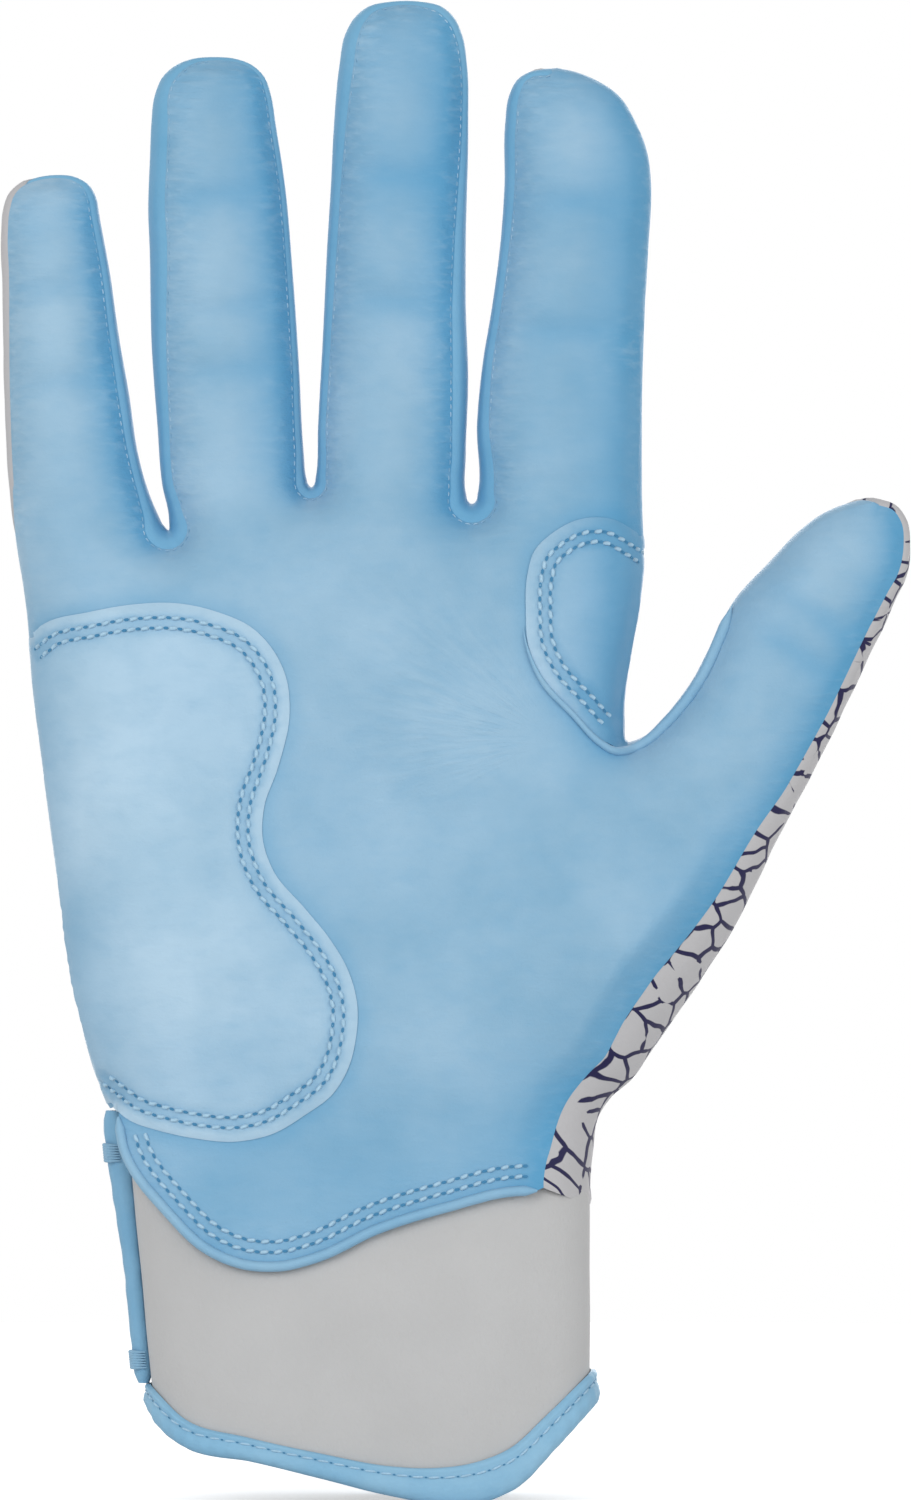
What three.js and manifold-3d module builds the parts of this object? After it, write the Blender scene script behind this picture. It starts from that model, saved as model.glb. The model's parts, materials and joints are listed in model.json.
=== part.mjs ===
// Batting glove for a right hand, filled out as it is on a hand, in millimetres.
// The fingers point up (+Z), the palm faces -Y and the thumb is on the +X side.
// The origin is the middle of the wrist opening, level with the lowest point of the hem.
import * as THREE from "three";
import { mergeVertices } from "three/addons/utils/BufferGeometryUtils.js";
import Module from "manifold-3d";

const wasm = await Module();
wasm.setup();

// Sheet goods, and the clearance left between neighbouring pieces.
const LEATHER = 1.0;
const PATCH = 1.0;
const NEOPRENE = 2.0;
const BINDING = 1.0;
const HOOK_AND_LOOP = 0.9;
const STRAP = 1.5;
const GAP = 0.3;
const SLIVER = 0.01; // bodies smaller than this, in cubic millimetres, are left over from rounding

// Fingers. half is the half width and depth the half thickness, each at the base crease, half way up and
// at the tip, and shift is how far the middle line there leaves the finger's axis. knuckle is the way from
// the base crease to the middle crease, crease the base crease's height above the knuckles, and space the
// gap to the next finger. Below the base crease a side spreads by its flare for each millimetre, towards a
// web, or draws in.
const FINGERS = [
  {
    name: "little",
    half: [10.6, 9.7, 8.2],
    depth: [8.4, 7.7, 6.6],
    length: 55.8,
    knuckle: 21,
    shift: [0, 0, 0],
    lean: -4.5,
    crease: 20.9,
    space: 3.1,
    flare: [-0.14, 0.55],
    walls: ["right"],
    outerSeam: 3.0,
  },
  {
    name: "ring",
    half: [11.9, 11.7, 10.2],
    depth: [9.4, 8.8, 7.6],
    length: 67.5,
    knuckle: 26,
    shift: [0, 0, 0],
    lean: -2.9,
    crease: 28.3,
    space: 1.5,
    flare: [0.12, 0.3],
    walls: ["left", "right"],
  },
  {
    name: "middle",
    half: [12.3, 11.6, 10.5],
    depth: [9.6, 9.0, 7.8],
    length: 77.0,
    knuckle: 28,
    shift: [0, 0, 0],
    lean: 1.8,
    crease: 28.3,
    space: 2.0,
    flare: [0.3, 0.3],
    walls: ["left", "right"],
  },
  {
    name: "index",
    half: [13.4, 12.3, 10.8],
    depth: [9.6, 9.0, 7.8],
    length: 68.3,
    knuckle: 26,
    shift: [0, 0.6, -0.9],
    lean: 2.5,
    crease: 25.8,
    space: 0,
    flare: [0.3, -0.1],
    walls: ["left"],
    outerSeam: 0.6,
  },
];
const FINGER_ROW_CENTRE = -6.9;
const SIDE_WALL = 9.0; // height of the fourchette strips between palm and back
const FINGER_ROOT = 26; // how deep a finger's form runs into the palm
const FINGER_FOOT = 9; // length of the root's round foot, inside the hand
const FOOT_SHRINK = 0.5; // thickness of a foot's lower end, of the root's
const ROOT_BURIED = 1.5; // how far a root's lower end lies under the hand's own face
const TIP_ROUND = 8.5;
const FINGER_POWER = 2.3; // 2 is an ellipse, more is boxier
const HINGE_GAP = 0.6;

// Thumb, with the same terms; its root is the mound at the base of the thumb.
const THUMB = {
  name: "thumb",
  half: [13.3, 11.7, 9.6],
  depth: [10.2, 9.2, 7.8],
  shift: [1.2, 0.5, 0.3],
  length: 52.0,
  knuckle: 27,
  lean: 33,
  walls: [],
};
const THUMB_OUT = 11.6; // from the index finger's outer side to the thumb's middle, at its base crease
const THUMB_BELOW_INDEX = 47; // from the index finger's base crease down to the thumb's
const THUMB_ROOT = 50;
const THUMB_WEB_FLARE = 0.4; // how fast its inner side spreads into the palm, per millimetre
const MOUND_HALF = 16.4; // on the outer side, at the root's lower end
const MOUND_DEPTH = 16.5; // half way down the root
const MOUND_FOOT_DEPTH = 13.0; // at the root's lower end
const MOUND_FOOT = 11; // length of the mound's round foot, below the root
const MOUND_FOOT_WIDTH = 0.86; // width of that foot's lower end, of the root's

// The hand from the hem to the knuckles. Half thicknesses are front (palm) and back.
const WRIST_RIGHT = 37.6; // thumb side, from the middle
const WRIST_LEFT = 39.7; // little-finger side, at the top of the cuff
const HEM_LEFT = 36.3; // little-finger side, at the hem
const WRIST_FRONT = 18;
const WRIST_BACK = 18;
const WRIST_TOP = 49;
const HEEL_HEIGHT = 81;
const HEEL_BULGE = 0.6; // how far the little-finger side swells past a straight line
const HEEL_FRONT = 17;
const HEEL_BACK = 15.5;
const PALM_HEIGHT = 112;
const PALM_FRONT = 14.5;
const PALM_BACK = 14;
const KNUCKLE_HEIGHT = 140;
const KNUCKLE_FRONT = 12.5;
const KNUCKLE_BACK = 12.5;
const KNUCKLE_INSET = 2.9; // from the little finger's outer side in to the hand's side
const INDEX_INSET = 1.8; // from the index finger's outer side in to the hand's side
const TRUNK_DOME = 11; // height of the hand's round top, inside the finger roots
const HAND_POWER = 3;

// The hem runs in a shallow boat shape: up at both sides, lowest near the thumb side.
const HEM_SIDE_RISE = 15.2;
const HEM_LOW_X = 15;
const HEM_LEFT_TURN = 6; // how far in from the little-finger side the hem turns, and runs on past it
const HEM_RIGHT_TURN = 13; // how far in from the thumb side it turns
const HEM_HEIGHT = 5.0;
const CUFF_IN_HEM = 1.4; // from the hem's lower edge up to the cuff's raw edge
const CUFF_UNDER_PALM = 7; // how far the cuff runs up under the palm leather

// The palm leather's lower edge: a wave from the little-finger side, down to a dip, up to the thumb side.
const PALM_EDGE_LEFT = 63;
const PALM_EDGE_DIP_X = -16.5;
const PALM_EDGE_DIP = 40.3;
const PALM_EDGE_RIGHT = 51.3;
const PALM_EDGE_BEND = 11; // from the little-finger side in to the middle of the fall to the dip
const PALM_EDGE_SAG = 2; // how far that fall hangs below a straight line
const PALM_EDGE_CROWN = 1; // how far the rise to the thumb side stands above a straight line
const PALM_EDGE_RUN_OUT = 10; // how far the curve runs on past the little-finger side
const PALM_EDGE_RUN_UP = 14; // how far it climbs there
const PIPING = 0.8; // radius of the rolled and piped edges

// The seam between the leather and the printed back, as seen on the thumb side of the palm.
const THUMB_SEAM_FOOT_X = 29.5;
const THUMB_SEAM_INSET = 6.6; // printed margin that shows beside the thumb's leather at the base crease
const THUMB_SEAM_TIP_INSET = 1.6;
const THUMB_SEAM_PAST_TIP = 3;
const THUMB_SEAM_BEND_OUT = 4.4; // the seam's first bend, out from its foot
const THUMB_SEAM_BEND_UP = 16; // and up from the palm edge
const THUMB_SEAM_SWELL_IN = 19.7; // the seam's place on the mound, in from the base crease
const THUMB_SEAM_SWELL_DOWN = 28.3; // and down from it

// The patches' outlines, with X to the thumb side and Z up. The heel patch is a pear, waisted where it meets
// the palm's hollow: X from the little finger's outer side, Z from the knuckles for its upper lobe and from
// the palm edge's dip for its lower one. The index patch is a leaf: its upper end is given from the outer end
// of the index finger's base crease, and its lower end, like the piped seam under it, from the thumb crotch.
const HEEL_PATCH_UPPER = [
  [-16.6, -1.5],
  [13.4, 4.3],
  [26.4, 5.4],
  [38.4, 2],
  [45.4, -7],
  [45, -21],
  [41, -33],
];
const HEEL_PATCH_LOWER = [
  [48.8, 55.2],
  [56, 41.7],
  [54.6, 27.7],
  [44.4, 20.2],
  [30.9, 18.7],
  [16.4, 25.2],
  [-16.6, 31.7],
];
const INDEX_PATCH_UPPER = [
  [13.4, -8.8],
  [-1.1, -6.8],
  [-7.6, -5.3],
  [-14.6, -8.8],
  [-18.6, -16.8],
];
const INDEX_PATCH_LOWER = [
  [-20.5, 13.6],
  [-15, 4.6],
  [-8, -1.4],
  [12, -1.4],
];
const THUMB_SEAM_PIPING = [
  [-22.4, 13.6],
  [-20.4, 7.1],
  [-15.6, 1.1],
  [-9.6, -3.6],
  [-4, -4.8],
];

// Wrist closure on the back of the hand: a slit that lets the hand in, and a strap across it.
const SLIT_X = 15.5;
const SLIT_WIDTH = 4;
const SLIT_TOP = 67;
const STRAP_ANCHOR_X = 24;
const STRAP_TOP = 59;
const STRAP_ABOVE_HEM = 2.0; // from the hem's upper edge, at the little-finger side, up to the strap
const STRAP_END_Y = -1.5; // how far round the little-finger side the strap reaches
const STRAP_END_LAP = 2; // how far the end binding laps over the strap
const TAB_WIDTH = 27;
const TAB_HEIGHT = 24;
const TAB = 1.8;
const TAB_X = -6;
const TAB_CORNER = 5;
const TAB_DROP = 4; // from the strap's middle line down to the tab's middle
const PATCH_WIDTH = 26; // hook and loop patches
const PATCH_HEIGHT = 26;
const BACK_OVER_CUFF = 3; // how far the printed back hangs below the palm edge, on the thumb side

const SIDES = 18; // facets round a finger
const HAND_SIDES = 32; // facets round the hand

const blueLeather = new THREE.MeshStandardMaterial({ color: 0x8fb9d4, roughness: 0.55, metalness: 0 });
const blueTrim = new THREE.MeshStandardMaterial({ color: 0x7fb2d0, roughness: 0.5, metalness: 0 });
const printedFabric = new THREE.MeshStandardMaterial({ color: 0xb0afb2, roughness: 0.75, metalness: 0 });
const greyNeoprene = new THREE.MeshStandardMaterial({ color: 0xbebebe, roughness: 0.85, metalness: 0 });
const hookTape = new THREE.MeshStandardMaterial({ color: 0x8a8c90, roughness: 0.9, metalness: 0 });
const tabRubber = new THREE.MeshStandardMaterial({ color: 0x86b4d2, roughness: 0.45, metalness: 0 });

// Solids

// A closed geometry as a solid that can be cut and joined.
function solid(geometry) {
  const bare = geometry.index ? geometry.toNonIndexed() : geometry.clone();
  bare.deleteAttribute("normal");
  bare.deleteAttribute("uv");
  const merged = mergeVertices(bare, 1e-3);
  const mesh = new wasm.Mesh({
    numProp: 3,
    vertProperties: merged.attributes.position.array,
    triVerts: new Uint32Array(merged.index.array),
  });
  return new wasm.Manifold(mesh);
}

function geometryOf(body) {
  const mesh = body.getMesh();
  const geometry = new THREE.BufferGeometry();
  geometry.setAttribute("position", new THREE.BufferAttribute(mesh.vertProperties, 3));
  geometry.setIndex(new THREE.BufferAttribute(mesh.triVerts, 1));
  const faceted = geometry.toNonIndexed();
  faceted.computeVertexNormals();
  return faceted;
}

// The same solid in 32-bit numbers, without the flat slivers that rounding can split off.
function rounded(body) {
  const bodies = solid(geometryOf(body)).decompose();
  const whole = bodies.filter((part) => Math.abs(part.volume()) > SLIVER);
  return whole.reduce((sum, part) => sum.add(part));
}

function block(x0, x1, y0, y1, z0, z1) {
  const box = new THREE.BoxGeometry(x1 - x0, y1 - y0, z1 - z0);
  box.translate((x0 + x1) / 2, (y0 + y1) / 2, (z0 + z1) / 2);
  return solid(box);
}

// A prism of an outline drawn in the XZ plane, as seen from the palm, between two depths.
function prism(outline, y0, y1, curveSegments = 6) {
  const extruded = new THREE.ExtrudeGeometry(outline, { depth: y1 - y0, bevelEnabled: false, curveSegments });
  extruded.rotateX(Math.PI / 2);
  extruded.translate(0, y1, 0);
  return solid(extruded);
}

// The skin through a row of rings with equal counts of points, closed by flat caps.
function loft(rings) {
  const count = rings[0].length;
  const corners = rings.flat().flatMap((p) => [p.x, p.y, p.z]);
  const faces = [];
  for (let r = 0; r + 1 < rings.length; r++) {
    for (let i = 0; i < count; i++) {
      const a = r * count + i;
      const b = r * count + ((i + 1) % count);
      faces.push(a, b, b + count, a, b + count, a + count);
    }
  }
  const last = (rings.length - 1) * count;
  for (let i = 1; i + 1 < count; i++) {
    faces.push(0, i + 1, i);
    faces.push(last, last + i, last + i + 1);
  }
  const geometry = new THREE.BufferGeometry();
  geometry.setAttribute("position", new THREE.Float32BufferAttribute(corners, 3));
  geometry.setIndex(faces);
  return solid(geometry);
}

// A superellipse ring at height z: its own half width on each side and half thickness front and back.
function ring(left, right, front, back, z, power, count) {
  const points = [];
  for (let i = 0; i < count; i++) {
    const angle = (2 * Math.PI * i) / count;
    const across = Math.sign(Math.cos(angle)) * Math.abs(Math.cos(angle)) ** (2 / power);
    const deep = Math.sign(Math.sin(angle)) * Math.abs(Math.sin(angle)) ** (2 / power);
    points.push(new THREE.Vector3(across * (across < 0 ? left : right), deep * (deep < 0 ? front : back), z));
  }
  return points;
}

// A smooth value between the ones given at the base, half way and at the tip.
function taper([base, half, tip], share) {
  return base + share * (4 * half - 3 * base - tip) + share * share * (2 * base - 4 * half + 2 * tip);
}

// The glove's form. A form is the leather's outer face, moved out by offset; a layer lies between two forms.

// A finger's form in its own frame: Z along the finger from the base crease, X across, Y to the back.
function fingerForm(finger, offset) {
  const end = finger.length + offset;
  const round = TIP_ROUND + offset;
  const rings = [];
  const addRing = (along, wide, thin) => {
    const share = Math.max(along, 0) / finger.length;
    const below = Math.max(-along, 0);
    const width = taper(finger.half, share);
    const shift = taper(finger.shift, share);
    const deep = below ? taper(finger.rootDepth, below / finger.root) : taper(finger.depth, share);
    const left = (width + below * finger.flare[0] + offset) * wide;
    const right = (width + below * finger.flare[1] + offset) * wide;
    const thick = (deep + offset) * thin;
    const shape = ring(left, right, thick, thick, along, FINGER_POWER, SIDES);
    rings.push(shape.map((point) => point.setX(point.x + shift)));
  };
  addRing(-finger.root - finger.foot, finger.footWidth, FOOT_SHRINK);
  [1, 0.6, 0.25, 0].forEach((share) => addRing(-share * finger.root, 1, 1));
  addRing(finger.knuckle, 1, 1);
  const shaft = end - round;
  [0.5, 1].forEach((share) => addRing(finger.knuckle + share * (shaft - finger.knuckle), 1, 1));
  [28, 53, 78].forEach((degrees) => {
    const angle = THREE.MathUtils.degToRad(degrees);
    const shrink = Math.cos(angle) ** 0.75;
    addRing(shaft + round * Math.sin(angle), shrink, shrink);
  });
  return loft(rings);
}

const rowWidth = FINGERS.reduce((sum, finger) => sum + 2 * finger.half[0] + finger.space, 0);
const rowLeft = FINGER_ROW_CENTRE - rowWidth / 2;
const rowRight = rowLeft + rowWidth;
let edge = rowLeft;
for (const finger of FINGERS) {
  finger.x = edge + finger.half[0];
  finger.z = KNUCKLE_HEIGHT + finger.crease;
  finger.root = FINGER_ROOT;
  finger.foot = FINGER_FOOT;
  finger.footWidth = FOOT_SHRINK;
  const buried = KNUCKLE_FRONT - ROOT_BURIED;
  finger.rootDepth = [finger.depth[0], (finger.depth[0] + buried) / 2, buried];
  edge += 2 * finger.half[0] + finger.space;
}
const INDEX = FINGERS[FINGERS.length - 1];
THUMB.x = rowRight + THUMB_OUT;
THUMB.z = INDEX.z - THUMB_BELOW_INDEX;
THUMB.root = THUMB_ROOT;
THUMB.rootDepth = [THUMB.depth[0], MOUND_DEPTH, MOUND_FOOT_DEPTH];
THUMB.foot = MOUND_FOOT;
THUMB.footWidth = MOUND_FOOT_WIDTH;
THUMB.flare = [THUMB_WEB_FLARE, (MOUND_HALF - THUMB.half[0]) / THUMB_ROOT];
const DIGITS = [...FINGERS, THUMB];
const gloveHeight = Math.max(...FINGERS.map((finger) => finger.z + finger.length));
const reach = gloveHeight / 2; // cutting blocks run this far from the origin, or from a piece's own frame

// Where a digit's own frame lies in the glove.
function placeOf(digit) {
  const turn = new THREE.Matrix4().makeRotationY(THREE.MathUtils.degToRad(digit.lean));
  return turn.setPosition(digit.x, 0, digit.z);
}

function placed(body, matrix) {
  return body.transform(matrix.elements);
}

// The hand's left side at a height: straight from wrist to knuckles, with the heel's swell added.
function handLeft(z) {
  if (z < WRIST_TOP) return THREE.MathUtils.lerp(-HEM_LEFT, -WRIST_LEFT, z / WRIST_TOP);
  const share = Math.min((z - WRIST_TOP) / (KNUCKLE_HEIGHT - WRIST_TOP), 1);
  const knuckle = rowLeft + KNUCKLE_INSET;
  return THREE.MathUtils.lerp(-WRIST_LEFT, knuckle, share) - HEEL_BULGE * Math.sin(Math.PI * share);
}

function handRight(z) {
  const share = THREE.MathUtils.clamp((z - WRIST_TOP) / (KNUCKLE_HEIGHT - WRIST_TOP), 0, 1);
  return THREE.MathUtils.lerp(WRIST_RIGHT, rowRight - INDEX_INSET, share);
}

// The hand's form from below the hem up to a round top that lies inside the finger roots. The sides may be
// moved out by another distance than the front and back.
function trunkForm(offset, sideOffset = offset) {
  const stations = [
    [-HEM_HEIGHT, WRIST_FRONT, WRIST_BACK],
    [WRIST_TOP, WRIST_FRONT, WRIST_BACK],
    [(WRIST_TOP + HEEL_HEIGHT) / 2, (WRIST_FRONT + HEEL_FRONT) / 2, (WRIST_BACK + HEEL_BACK) / 2],
    [HEEL_HEIGHT, HEEL_FRONT, HEEL_BACK],
    [(HEEL_HEIGHT + PALM_HEIGHT) / 2, (HEEL_FRONT + PALM_FRONT) / 2, (HEEL_BACK + PALM_BACK) / 2],
    [PALM_HEIGHT, PALM_FRONT, PALM_BACK],
    [KNUCKLE_HEIGHT, KNUCKLE_FRONT, KNUCKLE_BACK],
    [KNUCKLE_HEIGHT + 0.7 * TRUNK_DOME, 0.8 * KNUCKLE_FRONT, 0.8 * KNUCKLE_BACK],
    [KNUCKLE_HEIGHT + TRUNK_DOME, 0.4 * KNUCKLE_FRONT, 0.4 * KNUCKLE_BACK],
  ];
  const rings = stations.map(([z, front, back]) => {
    const middle = (handLeft(z) + handRight(z)) / 2;
    const half = (handRight(z) - handLeft(z)) / 2 + sideOffset;
    const shape = ring(half, half, front + offset, back + offset, z, HAND_POWER, HAND_SIDES);
    return shape.map((point) => point.setX(point.x + middle));
  });
  return loft(rings);
}

function handForm(offset, digits = DIGITS) {
  return digits.reduce(
    (form, digit) => form.add(placed(fingerForm(digit, offset), placeOf(digit))),
    trunkForm(offset),
  );
}

// Outlines, as seen from the palm. Each takes a grow distance, so that its neighbour can leave a gap.

function curveThrough(points) {
  return new THREE.SplineCurve(points.map(([x, z]) => new THREE.Vector2(x, z)));
}

function region(points) {
  return new THREE.Shape(points.map(([x, z]) => new THREE.Vector2(x, z)));
}

const palmEdge = curveThrough([
  [-WRIST_LEFT - PALM_EDGE_RUN_OUT, PALM_EDGE_LEFT + PALM_EDGE_RUN_UP],
  [-WRIST_LEFT - LEATHER, PALM_EDGE_LEFT - PALM_EDGE_SAG],
  [-WRIST_LEFT + PALM_EDGE_BEND, (PALM_EDGE_LEFT + PALM_EDGE_DIP) / 2 - PALM_EDGE_SAG],
  [PALM_EDGE_DIP_X, PALM_EDGE_DIP],
  [(PALM_EDGE_DIP_X + THUMB_SEAM_FOOT_X) / 2, (PALM_EDGE_DIP + PALM_EDGE_RIGHT) / 2 + PALM_EDGE_CROWN],
  [THUMB_SEAM_FOOT_X + LEATHER, PALM_EDGE_RIGHT],
]).getPoints(15);

const hemEdge = curveThrough([
  [-HEM_LEFT - HEM_LEFT_TURN, HEM_SIDE_RISE + HEM_LEFT_TURN],
  [-HEM_LEFT, HEM_SIDE_RISE],
  [-HEM_LEFT + HEM_LEFT_TURN, 0.58 * HEM_SIDE_RISE],
  [-0.3 * HEM_LEFT, 0.31 * HEM_SIDE_RISE],
  [HEM_LOW_X, 0],
  [WRIST_RIGHT - HEM_RIGHT_TURN, 0.15 * HEM_SIDE_RISE],
  [WRIST_RIGHT + LEATHER / 2, HEM_SIDE_RISE],
  [WRIST_RIGHT + HEM_LEFT_TURN, HEM_SIDE_RISE + HEM_LEFT_TURN],
]).getPoints(18);

// Everything between two heights above the hem's lower edge.
function aboveHem(from, to) {
  const low = hemEdge.map((p) => [p.x, p.y + from]);
  const high = hemEdge.map((p) => [p.x, p.y + to]);
  return prism(region([...low, ...high.reverse()]), -reach, reach);
}

// A point of the thumb's own frame, in the glove.
function onThumb(x, along) {
  return new THREE.Vector3(x, 0, along).applyMatrix4(placeOf(THUMB));
}

// The palm side's leather: above the palm edge, and inside the seam that runs up the thumb.
function leatherZone(grow) {
  const crease = onThumb(THUMB.half[0] - THUMB_SEAM_INSET + grow, 0);
  const tip = onThumb(THUMB.half[2] - THUMB_SEAM_TIP_INSET + grow, THUMB.length - TIP_ROUND);
  const beyond = onThumb(THUMB.half[2] - TIP_ROUND / 2 + grow, THUMB.length + THUMB_SEAM_PAST_TIP);
  const foot = THUMB_SEAM_FOOT_X + grow;
  const outline = [
    ...palmEdge.map((p) => [Math.min(p.x, foot), p.y - 1.5 * grow]),
    [foot + THUMB_SEAM_BEND_OUT, PALM_EDGE_RIGHT + THUMB_SEAM_BEND_UP],
    [crease.x - THUMB_SEAM_SWELL_IN, crease.z - THUMB_SEAM_SWELL_DOWN],
    [crease.x, crease.z],
    [tip.x, tip.z],
    [beyond.x, beyond.z],
    [beyond.x, beyond.z + reach],
    [-reach, beyond.z + reach],
    [-reach, palmEdge[0].y - 1.5 * grow],
  ];
  return prism(region(outline), -reach, grow - GAP / 2);
}

// The pieces of a digit

const glove = new THREE.Group();

function piece(parent, name, material, body) {
  const mesh = new THREE.Mesh(geometryOf(rounded(body)), material);
  mesh.name = name;
  parent.add(mesh);
}

// One length of a finger, cut along its seams into palm leather, side walls and back.
function addFingerLength(parent, finger, names, from, to) {
  const tube = fingerForm(finger, 0).subtract(fingerForm(finger, -LEATHER));
  const shell = tube.intersect(block(-reach, reach, -reach, reach, from, to));
  const wall = SIDE_WALL / 2;
  const seam = { left: wall, right: wall };
  ["left", "right"].forEach((side) => {
    if (!finger.walls.includes(side)) seam[side] = finger.outerSeam;
  });
  const half = (side, y0, y1) =>
    side === "left" ? block(-reach, 0, y0, y1, -reach, reach) : block(0, reach, y0, y1, -reach, reach);
  const front = half("left", -reach, -seam.left - GAP / 2).add(half("right", -reach, -seam.right - GAP / 2));
  const notBack = ["left", "right"].map((side) => {
    const walled = finger.walls.includes(side);
    return half(side, -reach, (walled ? wall : -seam[side]) + GAP / 2);
  });
  piece(parent, names.front, blueLeather, shell.intersect(front));
  piece(parent, names.back, printedFabric, shell.subtract(notBack[0].add(notBack[1])));
  // A finger with one side wall shares the tip between the wall and the wrapped-over back or palm.
  const middle = finger.walls.length === 1 ? GAP / 2 : 0;
  const band = block(-reach, reach, -wall + GAP / 2, wall - GAP / 2, -reach, reach);
  const walls = shell.intersect(band);
  const sides = finger.walls.map((side) =>
    side === "left"
      ? walls.intersect(block(-reach, -middle, -reach, reach, -reach, reach))
      : walls.intersect(block(middle, reach, -reach, reach, -reach, reach)),
  );
  if (names.walls.length === sides.length) {
    sides.forEach((side, i) => piece(parent, names.walls[i], blueLeather, side));
  } else {
    piece(parent, names.walls[0], blueLeather, sides[0].add(sides[1]));
  }
}

for (const finger of FINGERS) {
  const frame = new THREE.Group();
  frame.position.set(finger.x, 0, finger.z);
  frame.rotation.y = THREE.MathUtils.degToRad(finger.lean);
  glove.add(frame);
  const lower = {
    front: `${finger.name}_palm_leather`,
    back: `${finger.name}_back`,
    walls: finger.walls.map((side) => `${finger.name}_fourchette_${side}`),
  };
  const upper = {
    front: `${finger.name}_tip_leather`,
    back: `${finger.name}_tip_back`,
    walls: [`${finger.name}_tip_fourchette`],
  };
  addFingerLength(frame, finger, lower, HINGE_GAP / 2, finger.knuckle - HINGE_GAP / 2);
  addFingerLength(frame, finger, upper, finger.knuckle + HINGE_GAP / 2, finger.length + 1);
}

// The thumb is two pieces at each length: leather towards the palm, and the printed back.
{
  const frame = new THREE.Group();
  frame.position.set(THUMB.x, 0, THUMB.z);
  frame.rotation.y = THREE.MathUtils.degToRad(THUMB.lean);
  glove.add(frame);
  const toThumb = placeOf(THUMB).invert();
  const tube = fingerForm(THUMB, 0).subtract(fingerForm(THUMB, -LEATHER));
  const inside = placed(leatherZone(0), toThumb);
  const outside = placed(leatherZone(GAP), toThumb);
  const lengths = [
    ["thumb_palm_leather", "thumb_back", HINGE_GAP / 2, THUMB.knuckle - HINGE_GAP / 2],
    ["thumb_tip_leather", "thumb_tip_back", THUMB.knuckle + HINGE_GAP / 2, THUMB.length + 1],
  ];
  for (const [leather, back, from, to] of lengths) {
    const shell = tube.intersect(block(-reach, reach, -reach, reach, from, to));
    piece(frame, leather, blueLeather, shell.intersect(inside));
    piece(frame, back, printedFabric, shell.subtract(outside));
  }
}

// The hand's shell, with the digits cut away above their base creases.
function withoutDigits(body) {
  return DIGITS.reduce((rest, digit) => {
    const half = digit.half[0] + GAP;
    const middle = digit.shift[0];
    const above = block(middle - half, middle + half, -reach, reach, -HINGE_GAP / 2, reach);
    return rest.subtract(placed(above, placeOf(digit)));
  }, body);
}

const handOuter = handForm(0);
const handShell = withoutDigits(handOuter.subtract(handForm(-LEATHER)));

// The webs: the strip of each fourchette that turns through the bottom of the gap between two fingers.
const webs = FINGERS.slice(1).map((finger, i) => {
  const other = FINGERS[i];
  const zone = (grow) => {
    const deep = SIDE_WALL / 2 - GAP / 2 + grow;
    return block(other.x, finger.x, -deep, deep, KNUCKLE_HEIGHT, KNUCKLE_HEIGHT + reach);
  };
  return { name: `web_gusset_${other.name}_${finger.name}`, zone };
});
for (const web of webs) {
  piece(glove, web.name, blueLeather, handShell.intersect(web.zone(0)));
}
const withoutWebs = (body) => webs.reduce((rest, web) => rest.subtract(web.zone(GAP)), body);

// The slit runs from the hem through the cuff and a little way up the printed back.
const slitSide = SLIT_WIDTH / 2;
const slit = block(SLIT_X - slitSide, SLIT_X + slitSide, 0, reach, -reach, SLIT_TOP);

// The printed back stops above the cuff, along a line that falls from the palm edge's left end to its right.
const backFoot = PALM_EDGE_RIGHT - BACK_OVER_CUFF;
const backEdge = [
  [-reach, PALM_EDGE_LEFT],
  [-WRIST_LEFT, PALM_EDGE_LEFT],
  [WRIST_RIGHT, backFoot],
  [reach, backFoot],
];
const aboveCuff = prism(region([...backEdge, [reach, 2 * reach], [-reach, 2 * reach]]), -reach, reach);
const palm = withoutWebs(handShell.intersect(leatherZone(0)));
const back = withoutWebs(handShell.subtract(leatherZone(GAP))).intersect(aboveCuff).subtract(slit);
piece(glove, "palm_leather", blueLeather, palm);
piece(glove, "back_panel", printedFabric, back);

// Patches sewn on the palm

// A patch lies on the hand and the finger roots, and stops short of the thumb.
function overlay(outline) {
  const layer = handForm(GAP + PATCH, FINGERS).subtract(handForm(GAP));
  return withoutDigits(layer.intersect(prism(outline, -reach, -GAP, 8)));
}

// An outline given from two places: the curve runs from the first point to the last but one, and the last
// point and the first lie outside the hand.
function patchOutline(upper, upperPlace, lower, lowerPlace) {
  const points = [
    ...upper.map(([x, z]) => new THREE.Vector2(upperPlace.x + x, upperPlace.z + z)),
    ...lower.map(([x, z]) => new THREE.Vector2(lowerPlace.x + x, lowerPlace.z + z)),
  ];
  const outline = new THREE.Shape();
  outline.moveTo(points[0].x, points[0].y);
  outline.splineThru(points.slice(1, -1));
  outline.lineTo(points.at(-1).x, points.at(-1).y);
  return outline;
}

const aboveHeel = { x: rowLeft, z: KNUCKLE_HEIGHT };
const belowHeel = { x: rowLeft, z: PALM_EDGE_DIP };
const heelOutline = patchOutline(HEEL_PATCH_UPPER, aboveHeel, HEEL_PATCH_LOWER, belowHeel);
piece(glove, "heel_patch", blueLeather, overlay(heelOutline));

const indexBase = { x: rowRight, z: INDEX.z };
const thumbCrotch = onThumb(THUMB.shift[0] - THUMB.half[0], 0);
const indexOutline = patchOutline(INDEX_PATCH_UPPER, indexBase, INDEX_PATCH_LOWER, thumbCrotch);
piece(glove, "index_patch", blueLeather, overlay(indexOutline));

// Rolled and piped edges, laid on the leather's outer face

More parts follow.
